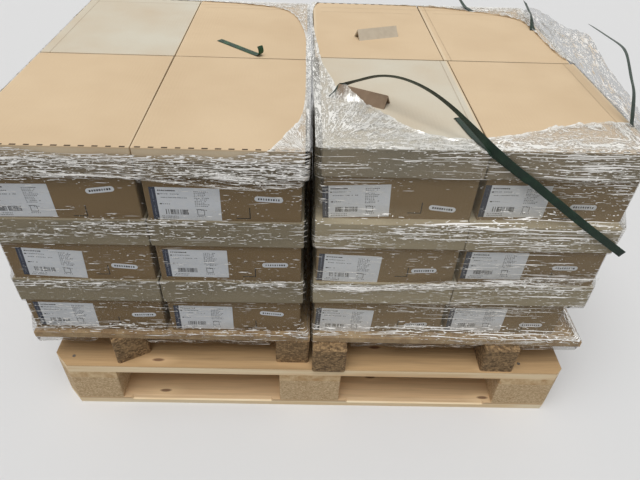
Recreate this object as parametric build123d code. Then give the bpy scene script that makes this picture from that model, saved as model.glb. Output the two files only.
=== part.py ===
from build123d import *
import os
from collections import namedtuple
from math import cos, exp, hypot, pi, radians, sin, sqrt

# A stretch wrapped pallet load: two stacks of lidded cartons, each on its own small pallet, standing
# side by side on one base pallet. Millimetres. The origin is the centre of the base pallet's
# footprint on the floor, X runs along the pallet, Y runs away from the load's front, Z is up.

# Base pallet
PALLET_LENGTH = 1200.0
PALLET_WIDTH = 800.0
WIDE_BOARD = 145.0
NARROW_BOARD = 100.0
BOARD_THICKNESS = 22.0
BLOCK_HEIGHT = 78.0
BLOCK_EDGE_RADIUS = 3.0
CORNER_CUT = 16.0
FRONT_LEFT_CORNER_CUT = 37.0
LEAD_IN = 9.0
LEAD_IN_TO_BLOCK = 22.0

# Small pallets under the two stacks
SKID_GAP = 7.0
SKID_DECK_OVERHANG_X = 8.0
SKID_DECK_OVERHANG_Y = -4.0
SKID_DECK_THICKNESS = 16.0
SKID_DECK_CENTRE_Y = 22.0
SKID_BLOCK = 78.0
SKID_BLOCK_HEIGHT = 75.0
SKID_BLOCK_RADIUS = 7.0
SKID_BLOCK_OVERHANG = 2.0
LEFT_SKID_SPACING = 388.0
RIGHT_SKID_SPACING = 397.0
TWISTED_BLOCK_ANGLE = 29.0
RIGHT_INNER_FRONT_STEP = 25.0
RIGHT_OUTER_FRONT_STEP = 16.0

# Cartons: a deep base with a shallow lid over it
CARTON_PITCH_X = 300.0
CARTON_PITCH_Y = 404.0
LID_GAP_X = 2.5
LID_GAP_Y = 5.0
LID_SKIRT = 60.0
CARTON_BOARD = 4.0
LID_PLAY = 1.0
LAYER_HEIGHT = 158.5
FOLD_RADIUS = 2.5
LAYERS = 3
STACKING_TURN = 0.15
TOP_ROW_SLIP = 4.0
RIGHT_TOP_SET_BACK = 16.0
RIGHT_TOP_TURN = 0.7
PUSHED_IN_WALL = 34.0

# How far each stack stands off the middle of its small pallet, and its turn
LEFT_SHIFT_X = -12.0
LEFT_SHIFT_Y = 10.5
LEFT_TURN = 0.5
RIGHT_SHIFT_X = -15.0
RIGHT_SHIFT_Y = 18.0
RIGHT_TURN = 0.3

# Stretch film
FILM_THICKNESS = 0.6
FILM_GAP = 0.5
FILM_CORNER = 6.0
FILM_DECK_CORNER = 1.0
FILM_FLARE = 26.0
FILM_DECK_FLARE = 45.0
FILM_UNDERCUT = 6.0
FILM_BOTTOM_MARGIN = 2.0
FILM_LIP_REST = 0.3
FILM_FRONT_DROP = 15.0
COLLAR_ROOT = 8.0
COLLAR_THICKNESS = 0.4
COLLAR_FROM_FRONT = 74.0
COLLAR_FROM_BACK = 19.0
COLLAR_FULLNESS = 0.35
COLLAR_RISE = 34.0
COLLAR_PEAK = 24.0
COLLAR_PEAK_Y = 20.0
COLLAR_PEAK_SPREAD = 90.0
COLLAR_LEAN = 22.0
COLLAR_STEPS = 8

# Places on a stack's top are given from one of its corners: the side of that corner in X and in Y,
# how far in from the side edge, and how far in from the front or back edge.
Spot = namedtuple("Spot", "side_x side_y in_x in_y")

# Where the film leaves the top bare
LEFT_OPENING = [
    Spot(-1, -1, 60, -10), Spot(1, -1, 90, -10), Spot(1, -1, 6, 127), Spot(1, 1, 6, 264), Spot(1, 1, 56, 62),
    Spot(1, 1, 176, 20), Spot(-1, 1, 240, 7), Spot(-1, 1, 4, 7), Spot(-1, -1, 4, 74),
]
RIGHT_OPENING_FRONT = [
    Spot(-1, 1, 8, 376), Spot(-1, -1, 13, 294), Spot(-1, -1, 24, 192), Spot(-1, -1, 120, 129),
    Spot(1, -1, 280, 101), Spot(1, -1, 120, 134), Spot(1, -1, 6, 165),
]
RIGHT_OPENING_BACK = [Spot(1, -1, 6, 165), Spot(1, 1, 6, 12), Spot(-1, 1, 8, 12), Spot(-1, 1, 8, 376)]

# Green strap
STRAP_WIDTH = 16.0
STRAP_THICKNESS = 0.8
STRAP_REST = 0.3
STRAP_ARCH_RISE = 68.0
STRAP_ARCH_SKEW = 0.16
STRAP_ARCH_TILT = 0.35
STRAP_ARCH_STEPS = 12
STRAP_FLAT_START = 30.0
STRAP_LANDING_LIFT = 4.0
STRAP_FALL = 35.0
STRAP_FIRST_REACH = 60.0
STRAP_LEAVES_TOP_LAYER = 100.0
STRAP_MEETS_NEXT_LAYER = 268.0
STRAP_FACE_LENGTH = 376.0
STRAP_CURL_RADIUS = 14.0
STRAP_CURL_ANGLE = 130.0
STRAP_CURL_STEPS = 6

# Where the straps run. A height is measured from the strap's lowest place on the film or lid.
LONG_STRAP_START = Spot(-1, -1, 51, 236)
LONG_STRAP_LANDING = Spot(1, -1, 299, 0)
SECOND_STRAP_START = Spot(-1, -1, 265, 120)
SECOND_STRAP_ON_FILM = [Spot(-1, -1, 268, 110), Spot(-1, -1, 282, 44)]
SECOND_STRAP_OVER_EDGE = Spot(-1, -1, 300, 0)
SECOND_STRAP_DROP = 12.0
SECOND_STRAP_REACHES = (45.0, 87.0)
SECOND_STRAP_WIDTHWAYS = (0.95, 0.32, 0.0)
SIDE_STRAP_RUN = [
    (Spot(1, -1, 10, 74), 0), (Spot(1, -1, 6, 86), 4), (Spot(1, -1, 4, 104), 20), (Spot(1, -1, 3, 135), 52),
    (Spot(1, -1, 3, 162), 70), (Spot(1, -1, 3, 195), 92), (Spot(1, -1, 3, 212), 101),
    (Spot(1, -1, 3, 239), 104), (Spot(1, -1, 3, 295), 100), (Spot(1, -1, 3, 375), 95),
]
SIDE_STRAP_TILTS = (0, 0, 0.1, 0.2, 0.2, 0.3, 0.5, 0.5, 0.5, 0.5)
BACK_CORNER_STRAP_RUN = [
    (Spot(1, 1, 23, 186), 0), (Spot(1, 1, 21, 166), 8), (Spot(1, 1, 19, 142), 22), (Spot(1, 1, 18, 118), 26),
    (Spot(1, 1, 16, 64), 36),
]
BACK_CORNER_STRAP_TILTS = (0, 0, 0.2, 0.3, 0.45)
BACK_STRAP_START = Spot(1, 1, 154, 40)
BACK_STRAP_RUN = [
    (Spot(1, 1, 159, 26), 0), (Spot(1, 1, 166, 6), 1), (Spot(1, 1, 173, -16), 9), (Spot(1, 1, 181, -40), 19),
]
BACK_STRAP_WIDTHWAYS = (1.0, 0.25, 0.0)
CURLED_STRAP_START = Spot(1, 1, 212, 301)
CURLED_STRAP_END = Spot(1, 1, 116, 385)

# Edge protectors: bent strips of solid board
PROTECTOR_LENGTH = 106.0
PROTECTOR_FLANGE = 28.0
PROTECTOR_SLOPE = 52.0
PROTECTOR_THICKNESS = 3.0
FRONT_PROTECTOR = Spot(-1, -1, 88.5, 189.5)
FRONT_PROTECTOR_TURN = -28.0
BACK_PROTECTOR = Spot(-1, 1, 153, 260)
BACK_PROTECTOR_TURN = 19.5

# The small pallets' decks follow the four cartons of a layer
SKID_DECK_WIDTH = 2 * (CARTON_PITCH_X + SKID_DECK_OVERHANG_X)
SKID_DECK_DEPTH = 2 * (CARTON_PITCH_Y + SKID_DECK_OVERHANG_Y)

# Where each stack stands, and how far it is turned
SKID_CENTRE_X = (SKID_GAP + SKID_DECK_WIDTH) / 2
Stack = namedtuple("Stack", "name x y turn side")
LEFT = Stack("left", LEFT_SHIFT_X - SKID_CENTRE_X, SKID_DECK_CENTRE_Y + LEFT_SHIFT_Y, LEFT_TURN, -1)
RIGHT = Stack("right", RIGHT_SHIFT_X + SKID_CENTRE_X, SKID_DECK_CENTRE_Y + RIGHT_SHIFT_Y, RIGHT_TURN, 1)

# Heights that follow from the sizes above
BASE_DECK_TOP = 3 * BOARD_THICKNESS + BLOCK_HEIGHT
SKID_DECK_BOTTOM = BASE_DECK_TOP + SKID_BLOCK_HEIGHT
SKID_DECK_TOP = SKID_DECK_BOTTOM + SKID_DECK_THICKNESS
LOAD_TOP = SKID_DECK_TOP + LAYERS * LAYER_HEIGHT
LIP_TOP = LOAD_TOP + FILM_LIP_REST + FILM_THICKNESS
STRAP_ON_LID = LOAD_TOP + STRAP_REST + STRAP_THICKNESS / 2
STRAP_ON_FILM = LIP_TOP + STRAP_REST + STRAP_THICKNESS / 2
SKID_ROW_SPACING = (SKID_DECK_DEPTH - SKID_BLOCK) / 2 + SKID_BLOCK_OVERHANG

# Carton sizes that follow
LID_X = CARTON_PITCH_X - LID_GAP_X
LID_Y = CARTON_PITCH_Y - LID_GAP_Y
BASE_X = LID_X - 2 * (CARTON_BOARD + LID_PLAY)
BASE_Y = LID_Y - 2 * (CARTON_BOARD + LID_PLAY)
BASE_HEIGHT = LAYER_HEIGHT - CARTON_BOARD

nodes = {}


def standing_box(size_x, size_y, height, x, y, z):
    """A box whose underside is centred at x, y, z."""
    return Pos(x, y, z) * Box(size_x, size_y, height, align=(Align.CENTER, Align.CENTER, Align.MIN))


def joined_solids(solids):
    """Like pieces that do not touch, kept in one node."""
    return Compound([piece.solid() for piece in solids])


def corner_cutter(side_x, side_y):
    """The upright prism that bevels one corner of the base pallet."""
    front_left = side_x < 0 and side_y < 0
    cut = FRONT_LEFT_CORNER_CUT if front_left else CORNER_CUT
    corner_x = side_x * PALLET_LENGTH / 2
    corner_y = side_y * PALLET_WIDTH / 2
    outline = Polyline(
        (corner_x - side_x * cut, corner_y),
        (corner_x, corner_y),
        (corner_x, corner_y - side_y * cut),
        close=True,
    )
    return extrude(make_face(outline), BASE_DECK_TOP)


def bevel_corners(piece):
    """Cut the pallet's four corner bevels out of a piece that may reach them."""
    for side_x in (-1, 1):
        for side_y in (-1, 1):
            piece -= corner_cutter(side_x, side_y)
    return piece


def lead_in_cutter(x_from, x_to, edge_y, side_y):
    """The sloping entry cut along one top edge of a bottom board, with run-outs at both ends."""
    middle = Plane(
        origin=((x_from + x_to) / 2, edge_y - side_y * LEAD_IN / 2, BOARD_THICKNESS - LEAD_IN / 2),
        x_dir=(1, 0, 0),
        z_dir=(0, side_y, 1),
    )
    return extrude(middle * Rectangle(x_to - x_from, 2 * LEAD_IN), LEAD_IN, taper=-45)


def base_pallet():
    """Five deck boards, three cross boards, nine blocks and three bottom boards."""
    edge_y = (PALLET_WIDTH - NARROW_BOARD) / 2
    rows = {"front": (-edge_y, NARROW_BOARD), "centre": (0.0, WIDE_BOARD), "back": (edge_y, NARROW_BOARD)}
    block_x = (PALLET_LENGTH - WIDE_BOARD) / 2
    columns = {"left": -block_x, "middle": 0.0, "right": block_x}

    board_gap = (PALLET_WIDTH - 3 * WIDE_BOARD - 2 * NARROW_BOARD) / 4
    deck_names = ["front", "front_inner", "centre", "back_inner", "back"]
    deck_widths = [WIDE_BOARD, NARROW_BOARD, WIDE_BOARD, NARROW_BOARD, WIDE_BOARD]
    board_y = -PALLET_WIDTH / 2
    deck_z = BASE_DECK_TOP - BOARD_THICKNESS
    for name, width in zip(deck_names, deck_widths):
        board = standing_box(PALLET_LENGTH, width, BOARD_THICKNESS, 0, board_y + width / 2, deck_z)
        nodes[f"base_deck_board_{name}"] = bevel_corners(board)
        board_y += width + board_gap

    for column, x in columns.items():
        cross = standing_box(WIDE_BOARD, PALLET_WIDTH, BOARD_THICKNESS, x, 0, deck_z - BOARD_THICKNESS)
        nodes[f"base_cross_board_{column}"] = bevel_corners(cross)

    for row, (y, width) in rows.items():
        bottom = standing_box(PALLET_LENGTH, width, BOARD_THICKNESS, 0, y, 0)
        for side_y in (-1, 1):
            for span in (-1, 1):
                near = span * (WIDE_BOARD / 2 + LEAD_IN_TO_BLOCK)
                far = span * (block_x - WIDE_BOARD / 2 - LEAD_IN_TO_BLOCK)
                bottom -= lead_in_cutter(min(near, far), max(near, far), y + side_y * width / 2, side_y)
        nodes[f"base_bottom_board_{row}"] = bevel_corners(bottom)
        for column, x in columns.items():
            block = standing_box(WIDE_BOARD, width, BLOCK_HEIGHT, x, y, BOARD_THICKNESS)
            block = fillet(block.edges().filter_by(Axis.Z), BLOCK_EDGE_RADIUS)
            nodes[f"base_block_{row}_{column}"] = bevel_corners(block)


def skid_block(x, y, turn):
    """One moulded chip block standing on the base pallet."""
    block = Box(SKID_BLOCK, SKID_BLOCK, SKID_BLOCK_HEIGHT, align=(Align.CENTER, Align.CENTER, Align.MIN))
    block = fillet(block.edges().filter_by(Axis.Z), SKID_BLOCK_RADIUS)
    return Pos(x, y, BASE_DECK_TOP) * Rot(0, 0, turn) * block


def small_pallet(stack, spacing, front_steps, front_turns):
    """A deck sheet on six blocks, in an inner and an outer line of three."""
    nodes[f"{stack.name}_skid_deck"] = standing_box(
        SKID_DECK_WIDTH, SKID_DECK_DEPTH, SKID_DECK_THICKNESS,
        stack.side * SKID_CENTRE_X, SKID_DECK_CENTRE_Y, SKID_DECK_BOTTOM,
    )
    inner_x = stack.side * (SKID_GAP / 2 + SKID_BLOCK / 2)
    lines = {"inner": inner_x, "outer": inner_x + stack.side * spacing}
    for row, row_name in zip((-1, 0, 1), ("front", "centre", "back")):
        for line, x in lines.items():
            in_front = row < 0
            y = SKID_DECK_CENTRE_Y + row * SKID_ROW_SPACING - (front_steps[line] if in_front else 0)
            turn = front_turns[line] if in_front else 0
            nodes[f"{stack.name}_skid_block_{row_name}_{line}"] = skid_block(x, y, turn)


def layer_place(stack, layer):
    """The location that carries one layer's own axes to the model's."""
    place = Pos(stack.x, stack.y, 0) * Rot(0, 0, stack.turn)
    if stack.side > 0 and layer == LAYERS - 1:
        place = place * Pos(0, RIGHT_TOP_SET_BACK, 0) * Rot(0, 0, RIGHT_TOP_TURN)
    return place


def top_place(stack):
    """The location that carries the top layer's axes to the model's."""
    return layer_place(stack, LAYERS - 1)


def carton_places(stack, layer):
    """Where the four cartons of one layer stand, each turned a little by hand stacking."""
    places = []
    for cell in range(4):
        side_x = -1 if cell % 2 == 0 else 1
        side_y = -1 if cell < 2 else 1
        slip = 0.0
        if layer == LAYERS - 1 and stack.side > 0:
            slip = -side_y * TOP_ROW_SLIP
        turn = STACKING_TURN * sin(2.1 * cell + 1.7 * layer + stack.side)
        x = side_x * CARTON_PITCH_X / 2 + slip
        y = side_y * CARTON_PITCH_Y / 2
        z = SKID_DECK_TOP + layer * LAYER_HEIGHT
        places.append(layer_place(stack, layer) * Pos(x, y, z) * Rot(0, 0, turn))
    return places


def carton_base(pushed_in):
    """The packed base of one carton; a pushed in one has lost a strip on its outer side."""
    base = standing_box(BASE_X, BASE_Y, BASE_HEIGHT, 0, 0, 0)
    if pushed_in:
        base -= standing_box(2 * PUSHED_IN_WALL, 2 * BASE_Y, BASE_HEIGHT, BASE_X / 2, 0, 0)
    return fillet(base.edges().filter_by(Axis.Z), FOLD_RADIUS)


def carton_lid():
    """A folded cap that slips over the top of a base and rests on it."""
    lid = standing_box(LID_X, LID_Y, LID_SKIRT, 0, 0, LAYER_HEIGHT - LID_SKIRT)
    lid = fillet(lid.edges().filter_by(Axis.Z), FOLD_RADIUS)
    lid = fillet(lid.faces().sort_by(Axis.Z)[-1].edges(), FOLD_RADIUS / 2)
    room_x = LID_X - 2 * CARTON_BOARD
    room_y = LID_Y - 2 * CARTON_BOARD
    depth = LID_SKIRT - CARTON_BOARD
    return lid - standing_box(room_x, room_y, depth, 0, 0, LAYER_HEIGHT - LID_SKIRT)


def carton_stack(stack):
    """Three layers of four cartons, the bases and the lids of a layer each in a node."""
    for layer in range(LAYERS):
        bases = []
        lids = []
        for cell, place in enumerate(carton_places(stack, layer)):
            pushed_in = stack.side > 0 and layer == 0 and cell % 2 == 1
            bases.append(place * carton_base(pushed_in))
            lids.append(place * carton_lid())
        nodes[f"{stack.name}_layer_{layer + 1}_bases"] = joined_solids(bases)
        nodes[f"{stack.name}_layer_{layer + 1}_lids"] = joined_solids(lids)


Outline = namedtuple("Outline", "place half_x half_y shift")
Level = namedtuple("Level", "place outlines z corner")


def deck_outline(stack):
    """The level outline of a small pallet's deck."""
    middle = Pos(stack.side * SKID_CENTRE_X, SKID_DECK_CENTRE_Y, 0)
    return Outline(middle, SKID_DECK_WIDTH / 2, SKID_DECK_DEPTH / 2, 0.0)


def base_outline(stack, layer):
    """The level outline round the carton bases of one layer."""
    inset = CARTON_BOARD + LID_PLAY
    slip = TOP_ROW_SLIP if stack.side > 0 and layer == LAYERS - 1 else 0.0
    pushed = PUSHED_IN_WALL / 2 if stack.side > 0 and layer == 0 else 0.0
    half_x = CARTON_PITCH_X - inset + slip - pushed
    return Outline(layer_place(stack, layer), half_x, CARTON_PITCH_Y - inset, -pushed)


def lid_outline(stack, layer):
    """The level outline round the lids of one layer."""
    slip = TOP_ROW_SLIP if stack.side > 0 and layer == LAYERS - 1 else 0.0
    return Outline(layer_place(stack, layer), CARTON_PITCH_X + slip, CARTON_PITCH_Y, 0.0)


def film_section(level, grow, z):
    """The film's level outline: the smallest rectangle in the level's axes that holds its outlines."""
    reach_x = []
    reach_y = []
    for outline in level.outlines:
        for side_x in (-1, 1):
            for side_y in (-1, 1):
                corner = Pos(outline.shift + side_x * outline.half_x, side_y * outline.half_y, 0)
                spot = (level.place.inverse() * outline.place * corner).position
                reach_x.append(spot.X)
                reach_y.append(spot.Y)
    size_x = max(reach_x) - min(reach_x) + 2 * grow
    size_y = max(reach_y) - min(reach_y) + 2 * grow
    middle = Pos((max(reach_x) + min(reach_x)) / 2, (max(reach_y) + min(reach_y)) / 2, z)
    return level.place * middle * RectangleRounded(size_x, size_y, level.corner)


def film_levels(stack):
    """The levels that the film is stretched over, from the small pallet's deck to the top."""
    deck = deck_outline(stack)
    foot = [deck, base_outline(stack, 0)]
    levels = [
        Level(deck.place, foot, SKID_DECK_BOTTOM + FILM_BOTTOM_MARGIN, FILM_DECK_CORNER),
        Level(deck.place, foot, SKID_DECK_TOP, FILM_DECK_CORNER),
    ]
    for layer in range(LAYERS):
        floor = SKID_DECK_TOP + layer * LAYER_HEIGHT
        flare = FILM_DECK_FLARE if layer == 0 else FILM_FLARE
        skirt = floor + LAYER_HEIGHT - LID_SKIRT
        place = layer_place(stack, layer)
        base = [base_outline(stack, layer)]
        lid = [lid_outline(stack, layer)]
        above = lid if layer == LAYERS - 1 else lid + [base_outline(stack, layer + 1)]
        levels.append(Level(place, base, floor + flare, FILM_CORNER))
        levels.append(Level(place, base, skirt - FILM_UNDERCUT, FILM_CORNER))
        levels.append(Level(place, lid, skirt, FILM_CORNER))
        levels.append(Level(place, above, floor + LAYER_HEIGHT, FILM_CORNER))
    return levels


def film_band(stack, opening):
    """The film round a stack: a thin wall over skirts and bases, and a lip round the opening on top."""
    levels = film_levels(stack)
    solids = []
    for grow, top in ((FILM_GAP + FILM_THICKNESS, LIP_TOP), (FILM_GAP, LOAD_TOP + FILM_LIP_REST)):
        sections = [film_section(level, grow, level.z) for level in levels[:-1]]
        sections.append(film_section(levels[-1], grow, top))
        solids.append(loft(sections, ruled=True))
    outer, inner = solids
    prism = extrude(opening, 2 * FILM_FRONT_DROP)
    return outer - inner - top_place(stack) * Pos(0, 0, LOAD_TOP - FILM_FRONT_DROP) * prism


def strip(rails, thickness):
    """A thin bent strip between two rails of points, given as left and right pairs."""
    pairs = [(Vector(*left), Vector(*right)) for left, right in rails]
    middles = [(left + right) * 0.5 for left, right in pairs]
    sections = []
    for index, (left, right) in enumerate(pairs):
        before = middles[max(index - 1, 0)]
        after = middles[min(index + 1, len(middles) - 1)]
        normal = (after - before).cross(right - left).normalized() * (thickness / 2)
        corners = [left + normal, right + normal, right - normal, left - normal]
        sections.append(make_face(Polyline(*corners, close=True)))
    return loft(sections, ruled=True)


def strap(points, across):
    """A strap whose middle follows points, with a width direction at each point."""
    rails = []
    for point, direction in zip(points, across):
        half = Vector(*direction).normalized() * (STRAP_WIDTH / 2)
        middle = Vector(*point)
        rails.append((tuple(middle - half), tuple(middle + half)))
    return strip(rails, STRAP_THICKNESS)


def on_top(spot):
    """The X and Y of a place on a stack's top, in the top layer's own axes."""
    return (spot.side_x * (CARTON_PITCH_X - spot.in_x), spot.side_y * (CARTON_PITCH_Y - spot.in_y))


def film_opening_left():
    """Where the left stack's film leaves its top bare."""
    return make_face(Polyline(*[on_top(spot) for spot in LEFT_OPENING], close=True))


def film_opening_right():
    """Where the right stack's film leaves its top bare."""
    front = Spline(*[on_top(spot) for spot in RIGHT_OPENING_FRONT])
    back = Polyline(*[on_top(spot) for spot in RIGHT_OPENING_BACK])
    return make_face(Curve() + [front, back])


def film_collar():
    """The loose edge of the right stack's film, standing up and leaning out along its outer side."""
    edge_x = CARTON_PITCH_X + TOP_ROW_SLIP + FILM_GAP + FILM_THICKNESS / 2
    root = LOAD_TOP - COLLAR_ROOT
    front = COLLAR_FROM_FRONT - CARTON_PITCH_Y
    back = CARTON_PITCH_Y - COLLAR_FROM_BACK
    rails = []
    for step in range(COLLAR_STEPS + 1):
        part = step / COLLAR_STEPS
        y = front + (back - front) * part
        swell = sin(pi * part) ** COLLAR_FULLNESS
        peak = exp(-(((y - COLLAR_PEAK_Y) / COLLAR_PEAK_SPREAD) ** 2))
        lean = COLLAR_LEAN * swell
        rise = COLLAR_RISE * swell + COLLAR_PEAK * peak
        rails.append(((edge_x, y, root), (edge_x + lean, y, LOAD_TOP + rise)))
    return strip(rails, COLLAR_THICKNESS)


def wrap():
    """The film of both stacks."""
    nodes["left_stretch_film"] = film_band(LEFT, film_opening_left())
    nodes["right_stretch_film"] = film_band(RIGHT, film_opening_right()) + top_place(RIGHT) * film_collar()


def strap_down_face(corner_x, face_y, top_z, reaches):
    """Points and width directions of a strap that lies aslant down the film's front."""
    fall = radians(STRAP_FALL)
    points = []
    across = []
    for reach in reaches:
        x = corner_x + reach * cos(fall)
        step_out = 0.0
        if reach >= STRAP_MEETS_NEXT_LAYER:
            step_out = RIGHT_TOP_SET_BACK + x * sin(radians(RIGHT_TOP_TURN))
        points.append((x, face_y - step_out, top_z - reach * sin(fall)))
        across.append((sin(fall), 0, cos(fall)))
    return points, across


def long_strap():
    """The cut strap that springs off the right stack's top in an arch and lies down its front."""
    start = on_top(LONG_STRAP_START)
    face_y = -(CARTON_PITCH_Y + FILM_GAP + FILM_THICKNESS + 2 * STRAP_REST + 1.5 * STRAP_THICKNESS)
    landing = (on_top(LONG_STRAP_LANDING)[0], face_y)
    span = hypot(landing[0] - start[0], landing[1] - start[1])
    ahead = ((landing[0] - start[0]) / span, (landing[1] - start[1]) / span)
    points = []
    across = []
    for back in (STRAP_FLAT_START, 0.0):
        points.append((start[0] - ahead[0] * back, start[1] - ahead[1] * back, STRAP_ON_LID))
        across.append((-ahead[1], ahead[0], 0))
    for step in range(1, STRAP_ARCH_STEPS):
        part = step / STRAP_ARCH_STEPS
        skewed = 1 + STRAP_ARCH_SKEW * (1 - 2 * part)
        height = STRAP_ON_LID + 4 * STRAP_ARCH_RISE * part * (1 - part) * skewed
        points.append((start[0] + ahead[0] * span * part, start[1] + ahead[1] * span * part, height))
        across.append((-ahead[1], ahead[0], -STRAP_ARCH_TILT * sqrt(sin(pi * part))))
    points.append((landing[0], landing[1], STRAP_ON_FILM + STRAP_LANDING_LIFT))
    across.append((1.0, 0.0, STRAP_ARCH_TILT))
    reaches = (STRAP_FIRST_REACH, STRAP_LEAVES_TOP_LAYER, STRAP_MEETS_NEXT_LAYER, STRAP_FACE_LENGTH)
    down, down_across = strap_down_face(landing[0], face_y, STRAP_ON_FILM, reaches)
    return strap(points + down, across + down_across)


def second_strap():
    """The shorter strap end that lies on the top and over the front edge under the long one."""
    face_y = -(CARTON_PITCH_Y + FILM_GAP + FILM_THICKNESS + STRAP_REST + STRAP_THICKNESS / 2)
    edge_x = on_top(SECOND_STRAP_OVER_EDGE)[0]
    corner_z = STRAP_ON_FILM - SECOND_STRAP_DROP
    points = [(*on_top(SECOND_STRAP_START), STRAP_ON_LID)]
    points += [(*on_top(spot), STRAP_ON_FILM) for spot in SECOND_STRAP_ON_FILM]
    across = [SECOND_STRAP_WIDTHWAYS] * len(points)
    points += [(edge_x, face_y, STRAP_ON_FILM), (edge_x + SECOND_STRAP_DROP, face_y, corner_z)]
    across += [(1.0, 0.0, 0.0), (1.0, 0.0, STRAP_ARCH_TILT)]
    down, down_across = strap_down_face(edge_x + SECOND_STRAP_DROP, face_y, corner_z, SECOND_STRAP_REACHES)
    return strap(points + down, across + down_across)


def rising_strap(run, tilts, foot):
    """A strap end that lifts off the top, given as places with heights over the foot and sideways tilts."""
    points = [(*on_top(spot), foot + height) for spot, height in run]
    return strap(points, [(1.0, 0.0, -tilt) for tilt in tilts])


def back_strap():
    """The strap end that lies across the right stack's back edge."""
    points = [(*on_top(BACK_STRAP_START), STRAP_ON_LID)]
    points += [(*on_top(spot), STRAP_ON_FILM + height) for spot, height in BACK_STRAP_RUN]
    return strap(points, [BACK_STRAP_WIDTHWAYS] * len(points))


def curled_strap():
    """The short piece of strap left on the left stack's top, with its cut end curled up."""
    start = on_top(CURLED_STRAP_START)
    end = on_top(CURLED_STRAP_END)
    length = hypot(end[0] - start[0], end[1] - start[1])
    along = ((end[0] - start[0]) / length, (end[1] - start[1]) / length)
    sideways = (-along[1], along[0], 0)
    points = [(*start, STRAP_ON_LID)]
    for step in range(STRAP_CURL_STEPS + 1):
        angle = radians(STRAP_CURL_ANGLE) * step / STRAP_CURL_STEPS
        forward = STRAP_CURL_RADIUS * sin(angle)
        up = STRAP_CURL_RADIUS * (1 - cos(angle))
        points.append((end[0] + along[0] * forward, end[1] + along[1] * forward, STRAP_ON_LID + up))
    return strap(points, [sideways] * len(points))


def edge_protector(spot, turn):
    """A bent board strip lying like a roof on the top, its fold uppermost."""
    slope = radians(PROTECTOR_SLOPE)
    reach = PROTECTOR_FLANGE * cos(slope)
    rise = PROTECTOR_FLANGE * sin(slope)
    foot = PROTECTOR_THICKNESS / sin(slope)
    crown = rise - PROTECTOR_THICKNESS / cos(slope)
    section = Polyline(
        (-reach, 0), (0, rise), (reach, 0), (reach - foot, 0), (0, crown), (foot - reach, 0), close=True,
    )
    profile = Plane.YZ * make_face(section)
    roof = extrude(profile, PROTECTOR_LENGTH / 2, both=True)
    return Pos(*on_top(spot), LOAD_TOP) * Rot(0, 0, turn) * roof


def loose_pieces():
    """Straps and edge protectors."""
    right = top_place(RIGHT)
    nodes["right_long_strap"] = right * long_strap()
    nodes["right_second_strap"] = right * second_strap()
    nodes["right_side_strap"] = right * rising_strap(SIDE_STRAP_RUN, SIDE_STRAP_TILTS, STRAP_ON_FILM)
    corner = rising_strap(BACK_CORNER_STRAP_RUN, BACK_CORNER_STRAP_TILTS, STRAP_ON_LID)
    nodes["right_back_corner_strap"] = right * corner
    nodes["right_back_strap"] = right * back_strap()
    nodes["left_curled_strap"] = top_place(LEFT) * curled_strap()
    nodes["front_edge_protector"] = right * edge_protector(FRONT_PROTECTOR, FRONT_PROTECTOR_TURN)
    nodes["back_edge_protector"] = right * edge_protector(BACK_PROTECTOR, BACK_PROTECTOR_TURN)


base_pallet()
small_pallet(
    LEFT, LEFT_SKID_SPACING,
    {"inner": 0.0, "outer": 0.0}, {"inner": 0.0, "outer": TWISTED_BLOCK_ANGLE},
)
small_pallet(
    RIGHT, RIGHT_SKID_SPACING,
    {"inner": RIGHT_INNER_FRONT_STEP, "outer": RIGHT_OUTER_FRONT_STEP}, {"inner": 0.0, "outer": 0.0},
)
carton_stack(LEFT)
carton_stack(RIGHT)
wrap()
loose_pieces()

os.makedirs("parts", exist_ok=True)
for node_name, shape in nodes.items():
    export_step(shape, f"parts/{node_name}.step")
    print(node_name, round(shape.volume / 1000.0, 1), "cm3")
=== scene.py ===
"""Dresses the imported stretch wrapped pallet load: finishes, labels, film, straps, nails, floor, light and camera.

Sizes are in metres, in the frame of the solids: X runs along the base pallet's long side, Y runs away
from the load's front, Z is up, and the origin is the centre of the pallet's footprint on the floor.
"""

import logging
import math
from dataclasses import dataclass, field
from enum import Enum
from typing import Iterable, Sequence

import bmesh
import bpy
from mathutils import Matrix, Vector, noise


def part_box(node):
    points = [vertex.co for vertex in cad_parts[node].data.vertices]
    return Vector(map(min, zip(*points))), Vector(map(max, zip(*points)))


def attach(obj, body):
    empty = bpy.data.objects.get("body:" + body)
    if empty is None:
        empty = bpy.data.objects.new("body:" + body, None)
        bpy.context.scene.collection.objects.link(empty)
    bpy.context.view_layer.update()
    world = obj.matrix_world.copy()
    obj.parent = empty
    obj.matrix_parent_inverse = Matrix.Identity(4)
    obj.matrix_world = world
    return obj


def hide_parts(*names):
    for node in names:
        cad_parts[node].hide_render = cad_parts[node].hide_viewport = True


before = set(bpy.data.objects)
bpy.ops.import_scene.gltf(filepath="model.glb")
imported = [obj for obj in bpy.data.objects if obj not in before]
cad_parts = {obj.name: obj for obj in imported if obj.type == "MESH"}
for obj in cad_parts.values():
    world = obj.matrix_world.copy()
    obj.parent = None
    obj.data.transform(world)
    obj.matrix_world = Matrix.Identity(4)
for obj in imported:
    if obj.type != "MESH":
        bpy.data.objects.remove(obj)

log = logging.getLogger("pallet_load")

Colour = tuple[float, float, float]
Point = tuple[float, float, float]
Spot = tuple[float, float]
Face = tuple[int, ...]
Socket = bpy.types.NodeSocket
Value = float | Colour | Socket

FILM_UV = "wrap"
CORNER_UV = "corner"
RIM_UV = "rim"


def srgb(red: int, green: int, blue: int) -> Colour:
    """Turn a colour as seen on a screen into the linear values that a shader takes.

    Args:
        red: The red channel, 0 to 255.
        green: The green channel.
        blue: The blue channel.

    Returns:
        The three channels, 0 to 1.
    """
    def linear(value: int) -> float:
        """Linear value of one channel."""
        part = value / 255
        return part / 12.92 if part <= 0.04045 else ((part + 0.055) / 1.055) ** 2.4
    return (linear(red), linear(green), linear(blue))


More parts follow.
